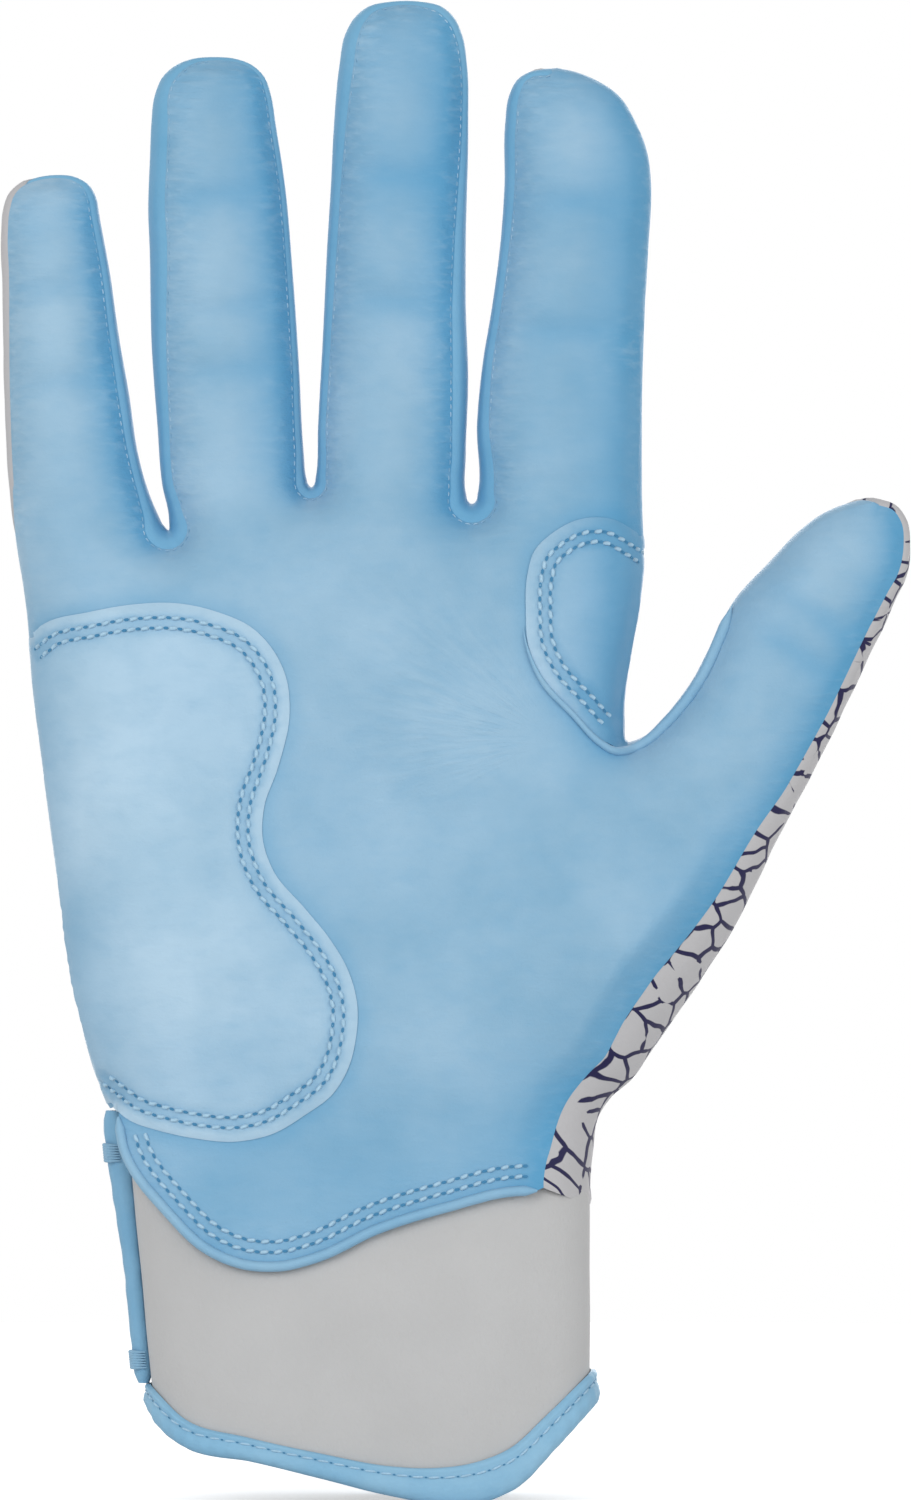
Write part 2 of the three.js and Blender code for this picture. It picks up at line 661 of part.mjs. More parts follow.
const leatherFace = new THREE.Mesh(geometryOf(handOuter), blueLeather);
leatherFace.material.side = THREE.DoubleSide;
const ray = new THREE.Raycaster();
function onPalm(x, z, lift) {
  ray.set(new THREE.Vector3(x, -reach, z), new THREE.Vector3(0, 1, 0));
  const hit = ray.intersectObject(leatherFace)[0];
  return new THREE.Vector3(x, hit.point.y - lift, z);
}

function cord(points, radius) {
  const round = new THREE.Shape();
  round.absarc(0, 0, radius, 0, 2 * Math.PI);
  const path = new THREE.CatmullRomCurve3(points);
  const tube = new THREE.ExtrudeGeometry(round, { steps: 20, curveSegments: 4, extrudePath: path });
  return solid(tube);
}

const palmEdgeOnHand = palmEdge.filter((p) => p.x > -WRIST_LEFT + 3 && p.x < THUMB_SEAM_FOOT_X - 1);
const edgeRoll = palmEdgeOnHand.map((p) => onPalm(p.x, p.y + PIPING, PIPING + GAP));
piece(glove, "palm_edge_piping", blueTrim, cord(edgeRoll, PIPING));

// The seam under the index patch, which turns up again into the thumb crotch.
const crotchSeam = THUMB_SEAM_PIPING.map(([x, z]) =>
  onPalm(thumbCrotch.x + x, thumbCrotch.z + z, PIPING + GAP),
);
piece(glove, "thumb_seam_piping", blueTrim, cord(crotchSeam, PIPING));

// Wrist cuff and hem

const cuffFace = -LEATHER - GAP;
const cuffLining = cuffFace - NEOPRENE;
const cuffTop = region([
  ...palmEdge.map((p) => [p.x, p.y + CUFF_UNDER_PALM]),
  [reach, PALM_EDGE_RIGHT + CUFF_UNDER_PALM],
  [reach, -reach],
  [-reach, -reach],
  [-reach, PALM_EDGE_LEFT + CUFF_UNDER_PALM],
]);
const cuffBody = (grow) =>
  trunkForm(cuffFace + grow)
    .subtract(trunkForm(cuffLining - grow))
    .intersect(aboveHem(CUFF_IN_HEM - grow, reach));
const frontOfCuff = prism(cuffTop, -reach, 0);
const cuffBackTop = backEdge.map(([x, z]) => [x, z + CUFF_UNDER_PALM]);
const backOfCuff = prism(region([[-reach, -reach], [reach, -reach], ...cuffBackTop.reverse()]), 0, reach);
const cuff = cuffBody(0).intersect(frontOfCuff.add(backOfCuff)).subtract(slit);
piece(glove, "wrist_cuff", greyNeoprene, cuff);

const hemRing = trunkForm(cuffFace + GAP + BINDING).subtract(trunkForm(cuffLining - GAP - BINDING));
const hem = hemRing.intersect(aboveHem(0, HEM_HEIGHT)).subtract(cuffBody(GAP)).subtract(slit);
piece(glove, "cuff_hem_binding", blueTrim, hem);

// Wrist closure: loop patch on the cuff; hook patch, strap, bound end and pull tab on the swinging strap

const backOf = (offset, x0, x1, z0, z1, thick) =>
  trunkForm(offset + thick).subtract(trunkForm(offset)).intersect(block(x0, x1, 0, reach, z0, z1));
const strapBottom = HEM_SIDE_RISE + HEM_HEIGHT + STRAP_ABOVE_HEM;
const strapMiddle = (STRAP_TOP + strapBottom) / 2;
const patchZ = [backFoot - GAP - PATCH_HEIGHT, backFoot - GAP];
const patchX = [TAB_X - PATCH_WIDTH / 2, TAB_X + PATCH_WIDTH / 2];
const loopFace = cuffFace + GAP;
const hookFace = loopFace + HOOK_AND_LOOP + GAP;
const strapFace = hookFace + HOOK_AND_LOOP + 1.5 * GAP;
const strapSide = cuffFace + GAP;
piece(glove, "loop_patch", hookTape, backOf(loopFace, ...patchX, ...patchZ, HOOK_AND_LOOP));

const closure = new THREE.Group();
glove.add(closure);
piece(closure, "hook_patch", hookTape, backOf(hookFace, ...patchX, ...patchZ, HOOK_AND_LOOP));
const strapZone = (grow) =>
  block(-reach, STRAP_ANCHOR_X, STRAP_END_Y - grow, reach, strapBottom - grow, STRAP_TOP + grow);
// On the back the strap lies over the hook patch, and on the little-finger side it lies on the cuff.
const strapLayer = (inner, outer) =>
  trunkForm(strapFace + outer, strapSide + outer).subtract(trunkForm(strapFace + inner, strapSide + inner));
const strapBody = (grow) => strapLayer(-grow, STRAP + grow).intersect(strapZone(grow));
piece(closure, "closure_strap", greyNeoprene, strapBody(0));

// The binding folds over the strap's free end, from its outer face round to the raw edge.
const endWrap = strapLayer(0, STRAP + GAP + BINDING);
const endFrom = STRAP_END_Y - GAP - 2 * BINDING;
const endZone = block(-reach, 0, endFrom, STRAP_END_Y + STRAP_END_LAP, strapBottom, STRAP_TOP);
piece(closure, "strap_end_binding", blueTrim, endWrap.intersect(endZone).subtract(strapBody(GAP)));

function roundedPlate(width, height, corner) {
  const plate = new THREE.Shape();
  const x = width / 2 - corner;
  const z = height / 2 - corner;
  plate.absarc(x, z, corner, 0, Math.PI / 2);
  plate.absarc(-x, z, corner, Math.PI / 2, Math.PI);
  plate.absarc(-x, -z, corner, Math.PI, 1.5 * Math.PI);
  plate.absarc(x, -z, corner, 1.5 * Math.PI, 2 * Math.PI);
  return plate;
}
const tabSeat = WRIST_BACK + strapFace + STRAP + GAP;
const tab = prism(roundedPlate(TAB_WIDTH, TAB_HEIGHT, TAB_CORNER), tabSeat, tabSeat + TAB, 4);
piece(closure, "pull_tab", tabRubber, tab.translate([TAB_X, 0, strapMiddle - TAB_DROP]));

export default glove;
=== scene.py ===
import json
import math

import bpy
import numpy as np
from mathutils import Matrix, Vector, kdtree, noise
from mathutils.geometry import delaunay_2d_cdt


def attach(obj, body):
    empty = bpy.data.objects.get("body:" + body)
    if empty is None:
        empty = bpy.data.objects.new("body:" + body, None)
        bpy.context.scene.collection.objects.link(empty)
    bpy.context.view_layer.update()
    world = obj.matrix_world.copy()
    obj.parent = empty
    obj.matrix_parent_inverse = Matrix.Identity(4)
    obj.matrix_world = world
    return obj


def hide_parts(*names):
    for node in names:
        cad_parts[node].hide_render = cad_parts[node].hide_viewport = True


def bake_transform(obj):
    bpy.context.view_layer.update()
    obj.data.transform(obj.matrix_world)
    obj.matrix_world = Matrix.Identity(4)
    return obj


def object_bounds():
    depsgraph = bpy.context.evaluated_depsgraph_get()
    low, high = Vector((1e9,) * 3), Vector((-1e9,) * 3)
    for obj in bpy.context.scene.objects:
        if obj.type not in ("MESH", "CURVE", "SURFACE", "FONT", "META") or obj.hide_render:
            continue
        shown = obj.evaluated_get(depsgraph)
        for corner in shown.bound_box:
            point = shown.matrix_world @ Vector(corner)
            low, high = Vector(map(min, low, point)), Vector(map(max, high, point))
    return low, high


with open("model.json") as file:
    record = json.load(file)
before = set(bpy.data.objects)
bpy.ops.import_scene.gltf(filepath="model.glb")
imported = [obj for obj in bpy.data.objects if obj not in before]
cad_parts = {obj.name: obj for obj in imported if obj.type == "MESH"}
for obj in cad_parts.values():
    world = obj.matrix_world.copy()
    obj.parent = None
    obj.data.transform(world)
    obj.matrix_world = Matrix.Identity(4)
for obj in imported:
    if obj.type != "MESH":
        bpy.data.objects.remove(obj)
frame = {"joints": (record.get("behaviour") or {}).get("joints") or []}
cad_low, cad_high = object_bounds()

# The outline that all the panels share: a right-hand glove seen from its palm, filled out as on a hand.
# The panels are cut flat and sewn along this line, so each is a flat outline that the hand inside swells.
# A stretch, clockwise from the wrist: seam inset, side roundness, leather's share of the side, points.
MM = 0.001
STEP = 0.9
STRETCHES = (
    ("hand_side", 1.8, 6.8, 0.62,
     ((-42.2, 63.8), (-44, 68.4), (-47.3, 81.5), (-50.4, 101.1), (-53, 120.8), (-54.7, 133.9), (-56, 147),
      (-57.4, 156))),
    ("little_outer", 0.9, 5.0, 0.0,
     ((-58.6, 165.8, 0.3), (-59.4, 180.5, 0.5), (-59.9, 200.2), (-60.1, 206.7), (-59.7, 210.8, 0.85),
      (-58.8, 213.2, 0.6))),
    ("little_inner", 0.6, 5.5, 0.0,
     ((-57.1, 214.9, 0.12), (-54.5, 216, 0.1), (-51.2, 216.5, 0.12), (-48, 216.2, 0.3), (-45.7, 214.9, 0.6),
      (-44.5, 212.8, 0.8), (-44, 210, 0.8), (-42.2, 200.2, 0.8), (-40.8, 190.3, 1.0), (-39.1, 180.5, 1.3),
      (-37.6, 170.7, 1.1), (-36.2, 165.5, 1.2), (-34.4, 161, 1.8), (-33.4, 159.1, 3.0))),
    ("ring_left", 2.6, 5.0, 0.0,
     ((-32.7, 158.4, 3.7), (-32.6, 160.1, 2.1), (-33.7, 165.8, 1.5), (-34.5, 175.6, 1.7),
      (-35.4, 187.9, 2.2), (-35.8, 205.1, 2.8), (-36, 210), (-35.7, 219.8), (-35.5, 224.7),
      (-34.9, 229.6, 2.0), (-33.6, 232.6, 1.7), (-31.4, 234.5, 1.3), (-28.8, 235.5, 0.5))),
    ("ring_right", 0.6, 5.5, 0.0,
     ((-25.2, 235.8, 0.15), (-21.6, 235.5, 0.12), (-19, 234.5, 0.15), (-17, 232.6, 0.3),
      (-15.9, 229.6, 0.4), (-15.1, 224.7, 0.4), (-13.6, 214.9, 0.4), (-12.3, 200.2, 0.5), (-11.3, 185.4),
      (-10.5, 170.7, 0.8), (-10.1, 166.9, 1.2), (-9.75, 165.8, 1.7))),
    ("middle_left", 1.3, 5.0, 0.0,
     ((-9.3, 165.4, 2.1), (-8.85, 165.8, 1.7), (-8.6, 167.0, 1.2), (-8.2, 175.6, 0.9), (-7.4, 190.3, 1.0),
      (-6.7, 205.1), (-6.1, 214.9), (-5.6, 224.7, 1.7), (-4.7, 234.5, 2.1), (-3.8, 239.4, 2.0),
      (-2.1, 242.4, 1.6), (0.3, 244.2, 1.0), (3.1, 244.8, 0.5))),
    ("middle_right", 1.4, 5.0, 0.0,
     ((6.4, 245, 0.35), (9.2, 244.8, 0.5), (11.8, 244.2, 0.8), (13.9, 242.5, 0.9), (15.4, 239.4, 0.7),
      (16.2, 234.5, 0.5), (16.4, 224.7, 0.6), (16, 205.1, 1.5), (16, 195.2, 1.9), (16.4, 183, 2.3),
      (16, 170.7, 1.9), (16.05, 164.3, 2.1), (16.4, 163.1, 3.0))),
    ("index_left", 1.1, 5.0, 0.0,
     ((17, 162.7, 3.6), (17.6, 163.1, 3.0), (17.9, 164.3, 2.2), (17.8, 175.6, 1.6), (18.7, 185.4, 1.2),
      (20.3, 195.2), (21.6, 205.1), (22.3, 214.9, 1.3), (22.4, 224.7, 1.4), (23.1, 229.6, 1.3),
      (24.4, 232.1, 1.0), (26.5, 233.4, 0.5))),
    ("index_right", 1.0, 5.0, 0.6,
     ((29.3, 233.9), (33.1, 233.5), (37, 232.1), (41.1, 229.3), (43.9, 224.7), (45.7, 219.8), (46.2, 214.9),
      (45.8, 205.1), (45, 190.3), (44.7, 170.7), (44.8, 160.9), (45, 155.1), (44.2, 147), (42.7, 138.8),
      (41.7, 127.3))),
    ("thumb_inner", 1.0, 6.0, 0.6,
     ((42.2, 123.7), (44.8, 124.4), (48.1, 127.3), (53.2, 133.9), (56.6, 140.4), (60.1, 147), (65.8, 153.2),
      (70.7, 158.3), (74.8, 161.2), (78.9, 162.8))),
    ("thumb_outer", 2.0, 7.0, 0.0,
     ((83.1, 163.5, 0.8), (86.4, 162.5, 0.7), (88.2, 159.9, 0.7), (88.7, 156, 0.8), (88, 150.6, 1.2),
      (86.4, 147, 1.6), (83.3, 140.4, 1.9), (77.1, 127.3), (70.4, 114.2, 2.6), (66.9, 107.7, 3.6),
      (60.6, 94.6, 5.1), (52.2, 81.5, 6.7), (47.6, 75, 6.6), (43, 68.4, 5.8), (39.8, 65.5, 5.4),
      (38, 62.8, 5.8), (36.7, 55.6, 7.2), (36.3, 48.1, 8.2))),
)
GUSSETED = ("little_inner", "ring_left", "ring_right", "middle_left", "middle_right", "index_left")
BACK_INSET, INSET_ROUNDS = 1.6, 1.25
SEAM_SINK, SEAM_ROLL = 0.45, 0.85
FINE, EASE, TANGENT = 0.1, 15, 5


def along(points):
    """Distance travelled at each point of a line."""
    steps = np.sqrt((np.diff(points, axis=0) ** 2).sum(1))
    return np.concatenate([[0.0], np.cumsum(steps)])


def unit(rows):
    """Each row as a direction of length 1."""
    return rows / np.maximum(np.linalg.norm(rows, axis=1), 1e-12)[:, None]


def resample(rows, distance, step):
    """The rows again, at an even step of the distance given for each."""
    count = max(2, round(distance[-1] / step))
    at = np.linspace(0, distance[-1], count + 1)
    return np.column_stack([np.interp(at, distance, rows[:, k]) for k in range(rows.shape[1])])


def spline(points, step):
    """A smooth curve through the points, at an even step; columns past the second follow linearly."""
    p = np.array(points, float)
    t = along(p[:, :2])
    d = np.diff(t)[:, None]
    slope = np.diff(p, axis=0) / d
    inner = (slope[:-1] * d[1:] + slope[1:] * d[:-1]) / (d[1:] + d[:-1])
    m = np.vstack([slope[:1], inner, slope[-1:]])
    at = np.linspace(0, t[-1], int(4 * t[-1] / step) + 2)
    i = np.clip(np.searchsorted(t, at, "right") - 1, 0, len(t) - 2)
    u = ((at - t[i]) / d[i, 0])[:, None]
    q = (2 * u**3 - 3 * u**2 + 1) * p[i] + (3 * u**2 - 2 * u**3) * p[i + 1]
    q = q + (u**3 - 2 * u**2 + u) * d[i] * m[i] + (u**3 - u**2) * d[i] * m[i + 1]
    for k in range(2, p.shape[1]):
        q[:, k] = np.interp(at, t, p[:, k])
    return resample(q, along(q[:, :2]), step)


def smoothed(values, width):
    """A running mean that keeps the ends."""
    padded = np.pad(values, width, mode="edge")
    return np.convolve(padded, np.ones(2 * width + 1) / (2 * width + 1), "valid")


outline_rows = []
for number, (name, inset, roundness, share, points) in enumerate(STRETCHES):
    for x, z, *own_inset in points:
        own = own_inset[0] if own_inset else inset
        outline_rows.append((x, z, own, roundness + INSET_ROUNDS * own, share, number))
edge = spline(outline_rows, FINE)
stretch = np.floor(edge[:, 5] + 1e-6)
for k in (2, 3, 4):
    edge[:, k] = smoothed(edge[:, k], EASE)
ahead = np.vstack([edge[TANGENT:, :2], np.repeat(edge[-1:, :2], TANGENT, 0)])
behind = np.vstack([np.repeat(edge[:1, :2], TANGENT, 0), edge[:-TANGENT, :2]])
way = unit(ahead - behind)
# The back's lower edge slopes down to the side of the wrist, so the last rows of the outline lean.
EDGE_LEAN, LEAN_RUN = 0.38, 8.0
lean = np.clip(1 - FINE * np.arange(len(edge))[::-1] / LEAN_RUN, 0, 1)
outward = unit(np.column_stack([-way[:, 1], way[:, 0] - EDGE_LEAN * lean]))
front_line = edge[:, :2] - edge[:, 2:3] * outward
steps = np.maximum(np.diff(along(edge[:, :2])), np.diff(along(front_line)))
travel = np.concatenate([[0.0], np.cumsum(steps)])
edge = resample(np.column_stack([edge[:, :5], stretch, outward]), travel, STEP)
outward = unit(edge[:, 6:8])
silhouette, inset, radius, share = edge[:, :2], edge[:, 2], edge[:, 3], edge[:, 4]
stretch = np.array([s[0] for s in STRETCHES])[np.round(edge[:, 5]).astype(int)]
SAMPLES = len(edge)
gusseted = np.isin(stretch, GUSSETED)
# The side strip narrows to a point over the tips of the little and index fingers, where it begins and ends.
POINT_RUN, POINT_POWER, WRAP = 11.0, 0.7, 0.12
strip_ends = np.flatnonzero(gusseted)[[0, -1]] + (0, 1)
strip_run = STEP * np.minimum(np.arange(SAMPLES) - strip_ends[0], strip_ends[1] - np.arange(SAMPLES))
strip_share = np.maximum(np.clip(strip_run / POINT_RUN, 0, 1) ** POINT_POWER, share)
closed = gusseted & (strip_run >= POINT_RUN)
wrapped = np.where(gusseted, 0.0, np.clip(share / WRAP, 0, 1))
front_angle = np.arccos(1 - inset / radius)
back_angle = np.arccos(1 - BACK_INSET / radius)
split_angle = -front_angle + np.where(gusseted, strip_share, share) * (front_angle + back_angle)


def side_points(angle, sink):
    """Points on the round side of the glove at an angle from the edge, minus to the palm."""
    reach = radius - sink
    flat = silhouette + (reach * np.cos(angle) - radius)[:, None] * outward
    return np.column_stack([flat[:, 0], reach * np.sin(angle), flat[:, 1]])


front_seam = side_points(-front_angle, SEAM_SINK * (1 - wrapped))
back_seam = side_points(back_angle, SEAM_SINK * smoothed(closed.astype(float), 2))
seam_flat = front_seam[:, [0, 2]]

# The digits bend at the joints of the frame, so each skin is cut across every digit twice.
# Below the first cut it is the hand's; between the cuts it is the digit's lower piece.
# Past the second it is the digit's tip, and both cuts lie where nothing bends.
DIGITS = ("little", "ring", "middle", "index", "thumb")
BASE_CUT, MID_CUT = -2.0, 12.0
DIGIT_FOOT, DIGIT_REACH, DIGIT_HALF = -9.0, 17.0, 13.0
joints = {j["name"]: j for j in frame["joints"]}
digits = {}
for name in DIGITS:
    base = joints[name + "_base_bend"]
    mid = joints[name + ("_end_bend" if name == "thumb" else "_middle_bend")]
    across = np.array([base["axis"][0], base["axis"][2]])
    up = np.array([-across[1], across[0]])
    root = np.array([base["pos_m"][0], base["pos_m"][2]]) / MM
    knuckle = (np.array([mid["pos_m"][0], mid["pos_m"][2]]) / MM - root) @ up
    digits[name] = {"root": root, "up": up, "across": across, "knuckle": knuckle}


def digit_place(name, points):
    """How far up the digit from its base crease, and how far across it, each (x, z) lies."""
    digit = digits[name]
    offset = points - digit["root"]
    return offset @ digit["up"], offset @ digit["across"]


SIDES = {"little": (("hand_side", "little_outer"), ("little_inner",)),
         "ring": (("ring_left",), ("ring_right",)),
         "middle": (("middle_left",), ("middle_right",)),
         "index": (("index_left",), ("index_right",)),
         "thumb": (("thumb_inner",), ("thumb_outer",))}
segment_part = np.array(["hand"] * SAMPLES, dtype=object)
for name in DIGITS:
    s, across = digit_place(name, seam_flat)
    cuts = []
    for level in (BASE_CUT, MID_CUT):
        gaps = [np.where(np.isin(stretch, side), np.abs(s - level), np.inf) for side in SIDES[name]]
        cuts.append([int(np.argmin(gap)) for gap in gaps])
    digits[name]["cuts"] = cuts
    segment_part[cuts[0][0] : cuts[0][1]] = name + "_lower"
    segment_part[cuts[1][0] : cuts[1][1]] = name + "_tip"


def part_of(points, seam):
    """The piece that each (x, z) of a panel belongs to: by its nearest digit and that digit's cuts."""
    part = np.array(["hand"] * len(points), dtype=object)
    places = [digit_place(name, points) for name in DIGITS]
    reach = np.array([np.where(s > DIGIT_FOOT, np.abs(across), np.inf) for s, across in places])
    nearest = np.where(reach.min(0) < DIGIT_REACH, reach.argmin(0), -1)
    for number, name in enumerate(DIGITS):
        for which, cut in zip(("_lower", "_tip"), digits[name]["cuts"]):
            a, b = seam[cut[0]], seam[cut[1]]
            above = (b[0] - a[0]) * (points[:, 1] - a[1]) - (b[1] - a[1]) * (points[:, 0] - a[0]) > 0
            part[above & (nearest == number)] = name + which
    return part


# The palm skin: thin sheepskin, one panel for palm and digit fronts, sewn to the backs and gussets.
# The flat panel is meshed inside its seam line and swelled like a skin over a padded form:
# the square of its height follows a screened Poisson equation, round on the digits, flat on the palm.
SPACING = 1.25
FULL_HEIGHT = 15.0
SWELL = 11.3
CLEAR_SHARE = 0.6


def inside(points, polygon):
    """Which points lie in a polygon."""
    x, y = points[:, 0], points[:, 1]
    odd = np.zeros(len(points), bool)
    for a, b in zip(polygon, np.roll(polygon, -1, 0)):
        crossing = (a[1] > y) != (b[1] > y)
        if abs(b[1] - a[1]) > 1e-12:
            odd ^= crossing & (x < (b[0] - a[0]) * (y - a[1]) / (b[1] - a[1]) + a[0])
    return odd


def tree_of(points):
    """A search tree over flat or solid points."""
    tree = kdtree.KDTree(len(points))
    for k, p in enumerate(points):
        tree.insert((p[0], p[1], p[2] if len(p) > 2 else 0.0), k)
    tree.balance()
    return tree


def distance_to(points, line):
    """Distance from each (x, z) to the nearest point of a finely sampled line, a few hundred at a time."""
    batch = 200
    best = np.full(len(points), np.inf)
    for k in range(0, len(line), batch):
        part = line[k : k + batch]
        gap = ((points[:, None, :] - part[None, :, :]) ** 2).sum(2)
        best = np.minimum(best, np.sqrt(gap.min(1)))
    return best


def panel_mesh(boundary, lines, spacing):
    """Triangles of a flat panel: its boundary loop, lines kept as edges, and an even grid between."""
    points = [tuple(p) for p in boundary]
    edges = []
    for line in lines:
        start = len(points)
        ends = [int(np.argmin(((boundary - line[k]) ** 2).sum(1))) for k in (0, -1)]
        inner = [tuple(p) for p in line[1:-1]]
        points += inner
        chain = [ends[0], *range(start, start + len(inner)), ends[1]]
        edges += list(zip(chain[:-1], chain[1:]))
    low, high = boundary.min(0), boundary.max(0)
    row_height = spacing * math.sqrt(3) / 2
    grid = []
    for k in range(int((high[1] - low[1]) / row_height) + 1):
        x = np.arange(low[0] + (k % 2) * spacing / 2, high[0], spacing)
        grid.append(np.column_stack([x, np.full(len(x), low[1] + k * row_height)]))
    grid = np.vstack(grid)
    grid = grid[inside(grid, boundary)]
    grid = grid[distance_to(grid, np.array(points)) > CLEAR_SHARE * spacing]
    points += [tuple(p) for p in grid]
    loop = list(range(len(boundary)))[::-1]
    found = delaunay_2d_cdt([Vector(p) for p in points], edges, [loop], 1, 1e-5)
    flat = np.array([tuple(v) for v in found[0]])
    tris = np.array([f for f in found[2] if len(f) == 3], int)
    a, b, c = flat[tris[:, 0]], flat[tris[:, 1]], flat[tris[:, 2]]
    area = (b[:, 0] - a[:, 0]) * (c[:, 1] - a[:, 1]) - (b[:, 1] - a[:, 1]) * (c[:, 0] - a[:, 0])
    tris[area < 0] = tris[area < 0][:, ::-1]
    return flat, tris[np.abs(area) > 1e-7]


def border(tris):
    """Edges that only one triangle uses, in that triangle's direction."""
    every = np.vstack([tris[:, [0, 1]], tris[:, [1, 2]], tris[:, [2, 0]]])
    key = np.sort(every, axis=1)
    _, first, count = np.unique(key, axis=0, return_index=True, return_counts=True)
    return every[first[count == 1]]


def swelled(flat, tris, boundary, boundary_height, full, swell):
    """Height of a skin over its flat panel, held at the boundary: conjugate gradients on the mesh."""
    steepest, rounds, settled, least = 20, 600, 1e-6, 0.01
    tree = tree_of(boundary)
    free = np.ones(len(flat), bool)
    value = np.full(len(flat), full**2)
    for k in np.unique(border(tris)):
        free[k] = False
        value[k] = boundary_height[tree.find((flat[k][0], flat[k][1], 0))[1]] ** 2
    pairs, weights = [], []
    mass = np.zeros(len(flat))
    for k in range(3):
        o, a, b = flat[tris[:, k]], flat[tris[:, (k + 1) % 3]], flat[tris[:, (k + 2) % 3]]
        p, q = a - o, b - o
        cross = p[:, 0] * q[:, 1] - p[:, 1] * q[:, 0]
        weights.append(np.clip((p * q).sum(1) / cross, -steepest, steepest) / 2)
        pairs.append(np.column_stack([tris[:, (k + 1) % 3], tris[:, (k + 2) % 3]]))
        np.add.at(mass, tris[:, k], cross / 6)
    pairs, weights = np.vstack(pairs), np.concatenate(weights)
    i, j, count = pairs[:, 0], pairs[:, 1], len(flat)
    diagonal = np.bincount(i, weights, count) + np.bincount(j, weights, count) + mass / swell**2

    def pull(v):
        return diagonal * v - np.bincount(i, weights * v[j], count) - np.bincount(j, weights * v[i], count)

    residual = (mass / swell**2 * full**2 - pull(value)) * free
    scaled = residual / diagonal
    step = scaled.copy()
    energy = residual @ scaled
    for _ in range(rounds):
        spread = pull(step) * free
        size = energy / (step @ spread)
        value = value + size * step
        residual = residual - size * spread
        scaled = residual / diagonal
        new = residual @ scaled
        if new < settled:
            break
        step = scaled + new / energy * step
        energy = new
    return np.sqrt(np.maximum(value, least))


def vertex_normals(points, tris):
    """Facing of each point: the mean of its triangles, by area."""
    a, b, c = points[tris[:, 0]], points[tris[:, 1]], points[tris[:, 2]]
    face = np.cross(b - a, c - a)
    total = np.zeros_like(points)
    for k in range(3):
        np.add.at(total, tris[:, k], face)
    return unit(total)


def grid_tris(rows, columns, ring=False):
    """Two triangles for each cell of a grid of points; a ring joins its last column to its first."""
    tris = []
    for r in range(rows - 1):
        for c in range(columns if ring else columns - 1):
            a, b = r * columns + c, r * columns + (c + 1) % columns
            tris += [(a, b, b + columns), (a, b + columns, a + columns)]
    return np.array(tris, int)


PRINT_GATHER, PRINT_EASE = 0.65, 20
print_way = unit(np.column_stack([smoothed(outward[:, k], PRINT_EASE) for k in (0, 1)]))


def side_grid(first, last, start, end, sink_start, sink_end, count):
    """A strip of the round side between two angle rows, for outline samples first to last."""
    bands, unrolled = [], []
    wide = radius * np.abs(end - start)
    for k in range(count + 1):
        u = k / count
        sink = np.maximum(sink_start * np.clip(1 - u * wide / SEAM_ROLL, 0, 1) ** 2,
                          sink_end * np.clip(1 - (1 - u) * wide / SEAM_ROLL, 0, 1) ** 2)
        angle = start + u * (end - start)
        bands.append(side_points(angle, sink)[first : last + 1])
        inward = BACK_INSET - PRINT_GATHER * radius * (back_angle - angle)
        spread = silhouette - inward[:, None] * print_way
        unrolled.append(np.column_stack([spread[:, 0], np.zeros(SAMPLES), spread[:, 1]])[first : last + 1])
    owner = np.tile(np.arange(first, last), count).repeat(2)
    return np.vstack(bands), grid_tris(count + 1, last - first + 1), owner, np.vstack(unrolled)


def welded(points, tris, parts, flat_places):
    """One mesh with points at the same place joined and empty triangles dropped."""
    same = 2e-3
    key = np.round(points / same).astype(int)
    _, index, back = np.unique(key, axis=0, return_index=True, return_inverse=True)
    back = np.asarray(back).ravel()
    points, tris, flat_places = points[index], back[tris], flat_places[index]
    solid = (tris[:, 0] != tris[:, 1]) & (tris[:, 1] != tris[:, 2]) & (tris[:, 0] != tris[:, 2])
    return points, tris[solid], parts[solid], flat_places


def straight(start, end):
    """Points at an even step along a straight line."""
    ends = np.array([start, end])
    return resample(ends, along(ends), STEP)


# The palm's lower edge lies over the wrist cuff, so the skin comes down to the cuff's face there.
PALM_EDGE = ((28.3, 50.9), (24.1, 50.9), (13.1, 48.4), (1.6, 44.8), (-8, 40.3), (-14.1, 38.8),
             (-20.8, 39.3), (-26.2, 41.7), (-32.2, 47.3), (-39.3, 57), (-40.6, 63.6))
WRIST_DEPTH, WRIST_LEFT, WRIST_RIGHT, WRIST_POWER, WRIST_LEAST = 17.5, 43.5, 38.8, 3, 4.0
HEEL_RIM = ((-55.2, 140.9), (-52.7, 142.9), (-45.2, 144.8), (-37.6, 146), (-30.1, 146), (-24.2, 144.7),
            (-18.7, 142.2), (-15.2, 138.5), (-13.1, 133.9), (-12.6, 128.8), (-14.6, 119.3), (-16.7, 113.3),
            (-16.9, 107.7), (-15.2, 102.8), (-10.1, 96.7), (-6.1, 91.8), (-3.1, 86.7), (-1.6, 81.2),
            (-1.8, 75.8), (-3.1, 70.7), (-5.6, 66.6), (-10.1, 63.2), (-15.2, 60.2), (-21.1, 58.9),
            (-28.1, 59.4), (-34.2, 60.7), (-38.1, 61.9), (-42.2, 64.6))
INDEX_RIM = ((44.7, 157.4), (39.3, 160.1), (34.4, 159.9), (30.4, 157.9), (27, 154.5), (26, 151.1),
             (25.7, 144.5), (26, 139.8), (28.5, 133.9), (33.4, 128.5), (38.3, 123.6), (41.6, 122.1))
palm_edge = spline(PALM_EDGE, STEP)
palm_edge[0], palm_edge[-1] = seam_flat[-1], seam_flat[0]
heel_rim, index_rim = spline(HEEL_RIM, STEP), spline(INDEX_RIM, STEP)


def cut_lines(seam):
    """The lines across the digits where a panel with this seam is cut."""
    return [straight(seam[cut[0]], seam[cut[1]]) for name in DIGITS for cut in digits[name]["cuts"]]


